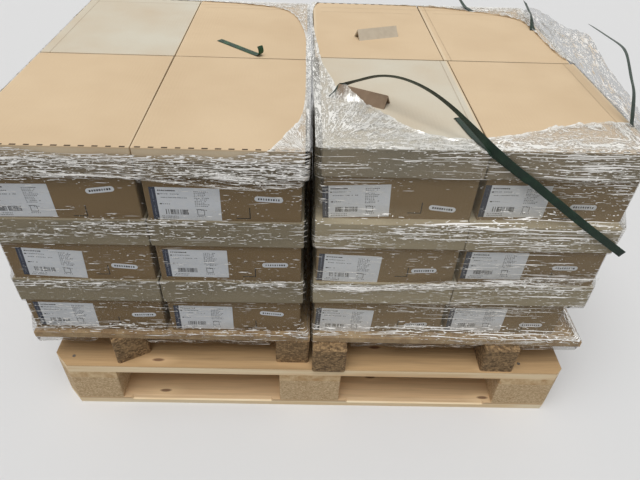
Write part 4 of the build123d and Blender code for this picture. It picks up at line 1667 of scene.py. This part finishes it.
    def wall(self) -> bpy.types.Object:
        """The wall, wrinkled along the way that it is pulled.

        Returns:
            The wall, a single sheet.
        """
        rows = self.rows()
        run = self.run(rows[0])
        count = len(rows[0])
        ripples = (Ripple(9, 160, self.stack.side.value * 4.0), Ripple(3, 60, 9.0, 0.7))
        verts, uvs = [], []
        for number, row in enumerate(rows):
            for column in range(count + 1):
                point, normal = row[column % count]
                z = point.z
                top = number / (len(rows) - 1)
                if top > self.drop_from:
                    z -= self.dropped(point) * (top - self.drop_from) / (1 - self.drop_from)
                out = self.wrinkle * max(-0.25, height_of(ripples, run[column], z))
                verts.append(Vector((point.x, point.y, z)) + normal * out)
                uvs.append((run[column], z))
        faces = grid_faces(len(rows), count + 1)
        return film_object(f"{self.stack.name}_film_wall", verts, faces, {FILM_UV: uvs}, f"{self.stack.name}_film")

    def lip(self, opening: Sequence[Spot], lift: float) -> bpy.types.Object:
        """The film that lies on the top, from the wall's edge in to the bare opening.

        Args:
            opening: The edge of the bare part, in the stack's own axes.
            lift: How high the wrinkles near the edge stand.

        Returns:
            The lip, a single sheet.
        """
        place = self.stack.layer_place(CARTON.layers - 1)
        inverse = place.inverted()
        edge = self.rows()[-1]
        run = self.run(edge)
        curve = closed_curve(opening, self.opening_steps)
        low_spots = Straps.low_spots(self.stack)
        corner = Vector((-self.stack.side.value * CARTON.pitch_x, -CARTON.pitch_y))
        verts, uvs, fans, rims = [], [], [], []
        for row in range(self.lip_rows + 1):
            part = row / self.lip_rows
            for column in range(len(edge) + 1):
                point = edge[column % len(edge)][0]
                outer = inverse @ point
                inner = meet(curve, outer)
                reach = min(1.0, inner.length / max(outer.to_2d().length, 1e-6))
                spot = outer.to_2d() * (1 + (reach - 1) * part)
                depth = (outer.to_2d() - spot).length
                ripple = height_of(LIP_RIPPLES, run[column], depth)
                wander = 0.5 + LIP_ROLL.at(run[column])
                clear = min([1.0, *((spot - low).length for low in low_spots)])
                calm = smooth((clear - self.strap_clear) / self.strap_fade)
                up = self.rest + calm * lift * smooth(depth / 0.03) * max(0.0, ripple + 0.15)
                edge_near = smooth((part - self.roll_from) / (1 - self.roll_from))
                roll = calm * lift * self.roll * wander * edge_near * smooth(depth / 0.02)
                dropped = self.dropped(point) if depth < 0.001 else 0.0
                outside = max(0.0, abs(spot.x) - CARTON.pitch_x - 0.0045)
                height = LOAD_TOP + up + roll + self.tent(spot) - dropped - self.sag * outside
                verts.append(place @ Vector((spot.x, spot.y, height)))
                uvs.append((run[column], LOAD_TOP + depth))
                away = spot - corner
                fans.append((away.length, math.atan2(away.y, away.x) * self.fan_width))
                rims.append(((1 - part) * outer.to_2d().length * (1 - reach), self.tent(spot)))
        faces = grid_faces(self.lip_rows + 1, len(edge) + 1)
        faces = [f for f in faces if face_area(verts, f) > 1e-7]
        maps = {FILM_UV: uvs, CORNER_UV: fans, RIM_UV: rims}
        return film_object(f"{self.stack.name}_film_lip", verts, faces, maps, "lip_film")

    def tent(self, spot: Vector) -> float:
        """How high the front edge protector lifts the film that is drawn over it.

        Args:
            spot: A place in plan in the top layer's axes.

        Returns:
            The height, which is 0 away from it.
        """
        if self.stack.side is StackSide.LEFT:
            return 0.0
        low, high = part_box("front_edge_protector")
        middle = RIGHT.layer_place(CARTON.layers - 1).inverted() @ ((low + high) / 2)
        offset = Matrix.Rotation(math.radians(-EdgeProtectors.front_turn_degrees), 2) @ (spot - middle.to_2d())
        ends = smooth((EdgeProtectors.length / 2 + self.tent_end - abs(offset.x)) / 0.02)
        reach = self.tent_reach + self.tent_widening * smooth(-offset.x / EdgeProtectors.length)
        return (high.z - LOAD_TOP + self.tent_gap) * ends * max(0.0, 1 - abs(offset.y) / reach)

    def band(self, name: str, route: Sequence[Spot], layer: int, width: float) -> bpy.types.Object:
        """A gathered band of film that runs aslant over the stack's front.

        Args:
            name: The piece's name.
            route: Places on the front as x in the layer's axes and z.
            layer: The layer whose axes are used.
            width: The band's width.

        Returns:
            The band, an arched and wrinkled sheet with soft edges.
        """
        place = self.stack.layer_place(layer)
        steps, across = self.band_steps, self.band_rows
        line = open_curve(route, steps)
        verts, uvs, rims = [], [], []
        for row in range(across + 1):
            part = row / across
            arch = math.sin(math.pi * part)
            for number, spot in enumerate(line):
                ends = smooth(number / self.band_taper) * smooth((steps - number) / self.band_taper)
                wide = width * (0.4 + 0.6 * ends) * (1 + BAND_WIDTH.at(spot.x))
                fold = height_of(BAND_FOLDS, spot.x, part)
                out = 0.0022 + arch * ends * (0.0012 + 0.0014 * fold)
                z = spot.y + (part - 0.5) * wide
                verts.append(place @ Vector((spot.x, -CARTON.pitch_y - self.gap - out, z)))
                uvs.append((spot.x, z))
                rims.append((min(part, 1 - part) * wide, 0.0))
        faces = grid_faces(across + 1, len(line))
        return film_object(name, verts, faces, {FILM_UV: uvs, RIM_UV: rims}, "band_film")

    def hem(self) -> bpy.types.Object:
        """The loose lower edge that hangs under the deck, short where blocks stand in front.

        Returns:
            The hem, a single sheet.
        """
        loop = self.rows()[0]
        run = self.run(loop)
        count = len(loop)
        blocks = [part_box(f"{self.stack.name}_skid_block_front_{line}") for line in ("inner", "outer")]
        verts, uvs = [], []
        bottom = loop[0][0].z
        for row in range(self.hem_rows):
            part = row / (self.hem_rows - 1)
            for column in range(count + 1):
                point, normal = loop[column % count]
                depth = self.hem_depth * (0.85 + HEM_DEPTH.at(run[column]))
                for low, high in blocks:
                    if normal.y < -0.5:
                        near = max(low.x - point.x, point.x - high.x)
                        depth *= smooth((near + 0.002) / 0.012)
                if abs(point.x) < 0.02:
                    depth *= 0.1
                sway = HEM_SWAY.at(run[column], part) - 0.004 * part
                z = bottom - max(0.0004, depth) * part
                verts.append(Vector((point.x, point.y, z)) + normal * sway)
                uvs.append((run[column], z))
        faces = grid_faces(self.hem_rows, count + 1, flip=True)
        return film_object(f"{self.stack.name}_film_hem", verts, faces, {FILM_UV: uvs}, "hem_film")


def smooth(value: float) -> float:
    """A soft step from 0 to 1 while the value goes from 0 to 1."""
    value = min(1.0, max(0.0, value))
    return value * value * (3 - 2 * value)


def grid_faces(rows: int, columns: int, flip: bool = False) -> list[Face]:
    """Faces of a grid of points stored row by row.

    Args:
        rows: Number of rows.
        columns: Number of points in a row.
        flip: True to face the other way.

    Returns:
        Four point numbers for each face.
    """
    faces = []
    for row in range(rows - 1):
        for column in range(columns - 1):
            a = row * columns + column
            face = (a, a + 1, a + columns + 1, a + columns)
            faces.append(tuple(reversed(face)) if flip else face)
    return faces


def face_area(verts: Sequence[Vector], face: Face) -> float:
    """Area of a four sided face."""
    a, b, c, d = (verts[i] for i in face)
    return ((c - a).cross(d - b)).length / 2


def closed_curve(points: Sequence[Spot], steps: int) -> list[Vector]:
    """A smooth closed curve through points, as short straight pieces.

    Args:
        points: Places that it passes.
        steps: How many pieces lie between two places.

    Returns:
        Points along the curve.
    """
    count = len(points)
    curve = []
    for i in range(count):
        before, start, end, after = (Vector(points[(i + k) % count]) for k in (-1, 0, 1, 2))
        curve += [spline_point(before, start, end, after, step / steps) for step in range(steps)]
    return curve


def open_curve(points: Sequence[Sequence[float]], steps: int) -> list[Vector]:
    """A smooth open curve through points, divided evenly between its ends.

    Args:
        points: Places that it passes.
        steps: How many pieces there are in all.

    Returns:
        Points along the curve.
    """
    ends = [points[0], *points, points[-1]]
    spans = len(points) - 1
    curve = []
    for step in range(steps + 1):
        place = step / steps * spans
        i = min(int(place), spans - 1)
        before, start, end, after = (Vector(ends[i + k]) for k in range(4))
        curve.append(spline_point(before, start, end, after, place - i))
    return curve


def spline_point(before: Vector, start: Vector, end: Vector, after: Vector, t: float) -> Vector:
    """A point between start and end on a smooth curve that also heeds their neighbours."""
    pull = 2 * start + (end - before) * t + (2 * before - 5 * start + 4 * end - after) * t * t
    return (pull + (3 * start - before - 3 * end + after) * t ** 3) / 2


def meet(curve: Sequence[Vector], target: Vector) -> Vector:
    """Where the line from the centre to a target crosses a closed curve round the centre.

    Args:
        curve: Points round the curve.
        target: The far end of the line.

    Returns:
        The crossing, or the target where there is none.
    """
    ray = target.to_2d().normalized()
    side = Vector((-ray.y, ray.x))
    best = target.to_2d()
    for a, b in zip(curve, list(curve[1:]) + [curve[0]]):
        below, above = a.dot(side), b.dot(side)
        if below * above > 0 or below == above:
            continue
        spot = a.lerp(b, below / (below - above))
        if spot.dot(ray) > 0:
            best = spot
    return best


def film_object(name: str, verts: list, faces: list, maps: dict[str, list], key: str) -> bpy.types.Object:
    """Make a sheet of film with its wrap coordinates.

    Args:
        name: The piece's name.
        verts: Points of the sheet.
        faces: Faces of the sheet.
        maps: For each UV map, a pair of numbers for each point.
        key: The finish.

    Returns:
        The smooth shaded sheet.
    """
    obj = new_object(name, verts, faces, [key])
    for label, pairs in maps.items():
        layer = obj.data.uv_layers.new(name=label)
        for loop in obj.data.loops:
            layer.data[loop.index].uv = pairs[loop.vertex_index]
    obj.data.shade_smooth()
    return obj


@dataclass
class LooseCollar:
    """The film's free edge that stands up along the right stack's outer side."""

    front: float = -0.330
    back: float = 0.385
    rise: float = 0.034
    peak: float = 0.024
    peak_y: float = 0.020
    peak_spread: float = 0.090
    lean: float = 0.022
    root: float = 0.008
    gap: float = 0.0010
    fullness: float = 0.35
    fold_depth: float = 0.004
    wrap_height: float = 0.08
    columns: int = 120
    rows: int = 10

    def build(self) -> bpy.types.Object:
        """Make the collar as one wrinkled sheet.

        Returns:
            The collar.
        """
        place = RIGHT.layer_place(CARTON.layers - 1)
        edge_x = CARTON.pitch_x + CARTON.top_slip + self.gap
        verts, uvs = [], []
        for row in range(self.rows + 1):
            part = row / self.rows
            for column in range(self.columns + 1):
                along = column / self.columns
                y = self.front + (self.back - self.front) * along
                swell = max(0.0, math.sin(math.pi * along)) ** self.fullness
                peak = math.exp(-(((y - self.peak_y) / self.peak_spread) ** 2))
                ragged = 1 + COLLAR_EDGE.at(y)
                rise = (self.rise * swell + self.peak * peak) * ragged + self.root
                fold = height_of(COLLAR_FOLDS, y, part)
                lean = self.lean * swell * part + self.fold_depth * fold * smooth(part * 3)
                verts.append(place @ Vector((edge_x + lean, y, LOAD_TOP - self.root + rise * part)))
                uvs.append((y, part * self.wrap_height))
        faces = grid_faces(self.rows + 1, self.columns + 1)
        return film_object("right_film_collar", verts, faces, {FILM_UV: uvs}, "collar_film")


@dataclass(frozen=True)
class StrapRun:
    """One strap on a stack's top: where its middle passes and which way its width lies there.

    Places are millimetres in the top layer's axes, with their height over the load's top.
    """

    node: str
    stack: Stack
    key: str
    slot: str
    run: tuple[tuple[Point, Point], ...]


FLAT = (-1.0, 0.0, 0.0)
STRAP_RUNS = (
    StrapRun("right_long_strap", RIGHT, "strap", "green_strap", (
        ((-272, -208, 1.4), (-0.87, 0.49, 0.0)), ((-259, -186, 3.5), (-0.93, 0.25, 0.15)),
        ((-247, -170, 11), (-0.87, -0.32, 0.35)), ((-218, -197, 34), (-0.75, -0.54, 0.38)),
        ((-186, -227, 56), (-0.73, -0.52, 0.45)), ((-155, -256, 67), (-0.61, -0.51, 0.61)),
        ((-124, -286, 68.7), (-0.44, -0.53, 0.72)), ((-93, -315, 62), (-0.27, -0.57, 0.78)),
        ((-61.5, -345, 47.6), (-0.10, -0.58, 0.81)), ((-30, -374.5, 27), (0.08, -0.48, 0.87)),
        ((1, -409, 6.5), (0.40, -0.20, 0.89)), ((50, -410.2, -32.8), (0.574, 0.0, 0.819)),
        ((83, -410.4, -55.8), (0.574, 0.0, 0.819)), ((150, -420, -102.8), (0.574, 0.0, 0.819)),
        ((220.5, -429, -152.1), (0.574, 0.0, 0.819)), ((309, -430, -214.1), (0.574, 0.0, 0.819)),
    )),
    StrapRun("right_second_strap", RIGHT, "strap", "green_strap", (
        ((-35, -284, 1.2), (0.95, 0.32, 0.0)), ((-32, -294, 2.0), (0.95, 0.32, 0.0)),
        ((-18, -360, 2.2), (0.95, 0.32, 0.0)), ((-4, -398, 2.8), (0.97, 0.18, 0.0)),
        ((6, -408, -3.0), (0.94, -0.02, 0.35)), ((22, -408.4, -14.5), (0.66, 0.0, 0.75)),
        ((49, -408.6, -34.0), (0.574, 0.0, 0.819)), ((83, -408.8, -58.3), (0.574, 0.0, 0.819)),
    )),
    StrapRun("right_side_strap", RIGHT, "strap", "green_strap", (
        ((297, -306, 4.6), (-0.80, -0.38, 0.46)), ((297.2, -301, 7.6), (-0.80, -0.38, 0.46)),
        ((297.4, -290, 24), (-0.80, -0.38, 0.46)),
        ((297, -269, 54), (-0.78, -0.40, 0.48)), ((297, -242, 72), (-0.79, -0.34, 0.51)),
        ((297, -209, 94), (-0.79, -0.32, 0.52)), ((297, -188, 103), (-0.87, -0.13, 0.47)),
        ((297, -162, 105.5), (-0.95, 0.00, 0.32)), ((297, -109, 102.6), (-0.95, 0.02, 0.32)),
        ((297, -29, 97.6), (-0.93, 0.02, 0.37)),
    )),
    StrapRun("right_back_corner_strap", RIGHT, "strap", "green_strap", (
        ((277, 218, 0.8), FLAT), ((279, 238, 8.7), (-0.86, -0.20, 0.46)), ((281, 262, 22.5), (-0.73, -0.20, 0.65)),
        ((282, 286, 26.7), (-0.83, -0.07, 0.56)), ((284, 340, 36.7), (-0.82, -0.07, 0.56)),
    )),
    StrapRun("right_back_strap", RIGHT, "strap", "green_strap", (
        ((146, 364, 0.9), (-0.94, -0.34, 0.0)), ((141, 378, 2.4), (-0.93, -0.34, 0.10)),
        ((134, 398, 3.8), (-0.90, -0.35, 0.24)), ((127, 420, 11.6), (-0.85, -0.41, 0.34)),
        ((119, 444, 21.6), (-0.84, -0.42, 0.34)),
    )),
    StrapRun("left_curled_strap", LEFT, "light_strap", "light_green_strap", (
        ((88, 103, 0.9), (0.658, 0.752, 0.0)), ((136, 61, 0.9), (0.658, 0.752, 0.0)),
        ((172, 29.5, 0.9), (0.658, 0.752, 0.0)), ((184, 19, 1.2), (0.658, 0.752, 0.0)),
        ((189, 14.5, 2.5), (0.658, 0.752, 0.0)), ((193.5, 10.5, 7), (0.658, 0.752, 0.0)),
        ((194.5, 9.8, 13.2), (0.658, 0.752, 0.0)), ((193.5, 10.4, 19), (0.658, 0.752, 0.0)),
        ((191.5, 12.3, 23.4), (0.658, 0.752, 0.0)),
    )),
)


@dataclass
class Straps:
    """The cut straps left on the load, each a smooth band of embossed plastic."""

    width: float = 0.016
    thickness: float = 0.0008
    samples: int = 9
    edge_share: float = 0.88
    rim_share: float = 0.35
    low_mm: float = 8.0
    low_steps: int = 8

    @classmethod
    def low_spots(cls, stack: Stack) -> list[Vector]:
        """Find where straps lie on a stack's top, so that the film stays flat under them.

        Args:
            stack: The stack.

        Returns:
            Places in plan along the low parts of its straps, in the top layer's axes.
        """
        spots = []
        for strap in STRAP_RUNS:
            for (start, _), (end, _) in zip(strap.run, strap.run[1:]):
                if strap.stack is stack and max(abs(start[2]), abs(end[2])) < cls.low_mm:
                    for step in range(cls.low_steps + 1):
                        spot = Vector(start).lerp(Vector(end), step / cls.low_steps)
                        spots.append(spot.to_2d() / 1000)
        return spots

    def build(self) -> None:
        """Make every strap in place of its plain solid."""
        for strap in STRAP_RUNS:
            piece = self.ribbon(strap)
            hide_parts(strap.node)
            carry(piece)

    def ribbon(self, strap: StrapRun) -> bpy.types.Object:
        """Sweep the strap's flat section along its run.

        Args:
            strap: The run and its finish.

        Returns:
            A closed band with its ends square and its own length and width as coordinates.
        """
        place = strap.stack.layer_place(CARTON.layers - 1)
        steps = self.samples * (len(strap.run) - 1)
        middles = open_curve([Vector(spot) / 1000 + Vector((0, 0, LOAD_TOP)) for spot, _ in strap.run], steps)
        widths = open_curve([Vector(width) for _, width in strap.run], steps)
        verts, uvs, faces = [], [], []
        length = 0.0
        shares = (-1.0, -self.edge_share, 0.0, self.edge_share, 1.0)
        for number, (middle, width) in enumerate(zip(middles, widths)):
            before, after = middles[max(0, number - 1)], middles[min(steps, number + 1)]
            length += (middle - before).length
            ahead = (after - before).normalized()
            across = (width - ahead * width.dot(ahead)).normalized()
            face = ahead.cross(across)
            for side, order in ((1, shares), (-1, tuple(reversed(shares)))):
                for share in order:
                    thin = self.thickness / 2 * (self.rim_share if abs(share) == 1 else 1.0)
                    verts.append(place @ (middle + across * share * self.width / 2 + face * side * thin))
                    uvs.append((length, share * self.width / 2))
        ring = 2 * len(shares)
        for number in range(steps):
            for column in range(ring):
                a, b = number * ring + column, number * ring + (column + 1) % ring
                faces.append((a, b, b + ring, a + ring))
        faces += [tuple(reversed(range(ring))), tuple(range(steps * ring, (steps + 1) * ring))]
        obj = film_object(strap.node.replace("_strap", "_ribbon"), verts, faces, {FILM_UV: uvs}, strap.key)
        facing_out(obj)
        return obj


def facing_out(obj: bpy.types.Object) -> None:
    """Turn a closed mesh's faces outwards.

    Args:
        obj: The piece that has the mesh.
    """
    shape = bmesh.new()
    shape.from_mesh(obj.data)
    bmesh.ops.recalc_face_normals(shape, faces=shape.faces)
    shape.to_mesh(obj.data)
    shape.free()


@dataclass
class EdgeProtectors:
    """The two bent board strips lying on the top."""

    length: float = 0.106
    front_turn_degrees: float = -28.0

    def dress(self) -> None:
        """Give each protector its board."""
        wear(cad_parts["front_edge_protector"], "brown_protector")
        wear(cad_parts["back_edge_protector"], "grey_protector")


@dataclass
class Studio:
    """Floor, light and camera."""

    camera_place: Point = (-0.0171, -1.1712, 1.194)
    pitch_degrees: float = 40.2
    yaw_degrees: float = 1.93
    roll_degrees: float = 2.6
    focal_pixels: float = 542.0
    image_width: float = 640.0
    sensor_width: float = 36.0
    sky_strength: float = 0.33
    sun_strength: float = 2.10
    sun_width_degrees: float = 45.0
    sun_from: Point = (-0.12, -0.25, 0.95)
    floor_size: float = 60.0
    floor_colour: Colour = srgb(222, 222, 222)
    floor_bounce: Colour = srgb(148, 148, 146)

    def floor(self) -> None:
        """Lay a plain pale floor."""
        half = self.floor_size / 2
        corners = [(-half, -half, 0), (half, -half, 0), (half, half, 0), (-half, half, 0)]
        mesh = bpy.data.meshes.new("floor")
        mesh.from_pydata(corners, [], [(0, 1, 2, 3)])
        obj = linked("floor", mesh)
        paint = Paint("floor")
        tone = paint.blend(self.seen(paint), self.floor_bounce, self.floor_colour)
        mesh.materials.append(paint.finish(tone, 0.85))

    def seen(self, writer: NodeWriter) -> Socket:
        """1 where a ray shows the surround as it is, and 0 where it only lights the load.

        Args:
            writer: Writes the tree that asks.

        Returns:
            The number as a link.
        """
        rays = writer.add("ShaderNodeLightPath").outputs
        seen = writer.math("MAXIMUM", rays["Is Camera Ray"], rays["Is Glossy Ray"])
        return writer.math("MAXIMUM", seen, rays["Is Transmission Ray"])

    def light(self) -> None:
        """Light the load softly, mostly from above, against a white surround."""
        world = bpy.data.worlds.new("studio")
        world.use_nodes = True
        writer = NodeWriter(world.node_tree)
        spare = writer.math("MULTIPLY", self.seen(writer), 1.0 - self.sky_strength)
        strength = writer.math("ADD", spare, self.sky_strength)
        sky = writer.add("ShaderNodeBackground", {0: (1.0, 1.0, 1.0, 1.0), 1: strength})
        writer.add("ShaderNodeOutputWorld", {0: sky.outputs[0]})
        bpy.context.scene.world = world
        sun = bpy.data.lights.new("soft_sun", "SUN")
        sun.energy = self.sun_strength
        sun.angle = math.radians(self.sun_width_degrees)
        obj = linked("soft_sun", sun)
        obj.rotation_euler = (-Vector(self.sun_from)).to_track_quat("-Z", "Y").to_euler()

    def camera(self) -> None:
        """Stand the camera where the photograph was taken from."""
        pitch, yaw, roll = (math.radians(a) for a in (self.pitch_degrees, self.yaw_degrees, self.roll_degrees))
        ahead = Vector((math.sin(yaw) * math.cos(pitch), math.cos(yaw) * math.cos(pitch), -math.sin(pitch)))
        level = Vector((math.cos(yaw), -math.sin(yaw), 0))
        upright = level.cross(ahead)
        right = math.cos(roll) * level + math.sin(roll) * upright
        up = -math.sin(roll) * level + math.cos(roll) * upright
        data = bpy.data.cameras.new("photo_view")
        data.sensor_width = self.sensor_width
        data.lens = self.focal_pixels / self.image_width * self.sensor_width
        obj = linked("photo_view", data)
        turn = Matrix((right, up, -ahead)).transposed().to_4x4()
        obj.matrix_world = Matrix.Translation(self.camera_place) @ turn
        bpy.context.scene.camera = obj
        bpy.context.scene.view_settings.view_transform = "Standard"


LEFT_OPENING = (
    (-0.292, -0.330), (-0.240, -0.420), (0.000, -0.430), (0.205, -0.425), (0.270, -0.330), (0.294, -0.240),
    (0.296, 0.000), (0.290, 0.180), (0.244, 0.330), (0.124, 0.380), (-0.060, 0.395), (-0.296, 0.398),
)
RIGHT_OPENING = (
    (-0.292, 0.020), (-0.268, -0.130), (-0.257, -0.180), (-0.238, -0.207), (-0.207, -0.240), (-0.176, -0.272),
    (-0.150, -0.312), (-0.113, -0.347), (-0.047, -0.368), (0.046, -0.352), (0.110, -0.331), (0.157, -0.314),
    (0.204, -0.302), (0.278, -0.291), (0.308, -0.284), (0.310, -0.240), (0.310, -0.030), (0.300, 0.006),
    (0.284, 0.030), (0.277, 0.112), (0.275, 0.220), (0.268, 0.275), (0.250, 0.308), (0.210, 0.332),
    (0.141, 0.360), (0.031, 0.385), (-0.100, 0.396), (-0.290, 0.392),
)
LEFT_BANDS = (
    (((-0.290, 0.648), (-0.120, 0.657), (0.000, 0.652), (0.120, 0.640), (0.220, 0.634), (0.296, 0.646)), 2, 0.009),
    (((-0.290, 0.694), (-0.180, 0.692), (-0.060, 0.684), (0.060, 0.674), (0.150, 0.662), (0.230, 0.646)), 2, 0.022),
)
RIGHT_BANDS = (
    (((-0.298, 0.380), (-0.200, 0.384), (-0.080, 0.394), (0.040, 0.404), (0.160, 0.412), (0.296, 0.424)), 0, 0.024),
)


def dress_film() -> None:
    """Replace the plain film of each stack with wall, lip, hem and collar."""
    for stack, opening, lift, bands in (
        (LEFT, LEFT_OPENING, 0.004, LEFT_BANDS), (RIGHT, RIGHT_OPENING, 0.005, RIGHT_BANDS),
    ):
        film = StretchFilm(stack)
        wall = film.wall()
        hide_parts(f"{stack.name}_stretch_film")
        for piece in (wall, film.lip(opening, lift), film.hem()):
            carry(piece)
        for number, (route, layer, width) in enumerate(bands):
            carry(film.band(f"{stack.name}_film_band_{number + 1}", route, layer, width))
    carry(LooseCollar().build())


def main() -> None:
    """Dress the load and set up the studio."""
    logging.basicConfig(level=logging.INFO, format="%(name)s: %(message)s")
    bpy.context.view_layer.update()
    tree = MarkTree("marks_along_lines")
    pallet = BasePallet()
    pallet.dress()
    pallet.nails()
    SmallPallets().dress()
    for stack, labels in ((LEFT, LEFT_LABELS), (RIGHT, RIGHT_LABELS)):
        cartons = Cartons(stack, labels)
        cartons.dress()
        cartons.papers()
        cartons.print(tree)
        cartons.perforations(tree)
    Straps().build()
    EdgeProtectors().dress()
    dress_film()
    studio = Studio()
    studio.floor()
    studio.light()
    studio.camera()


if __name__ == "__main__":
    main()
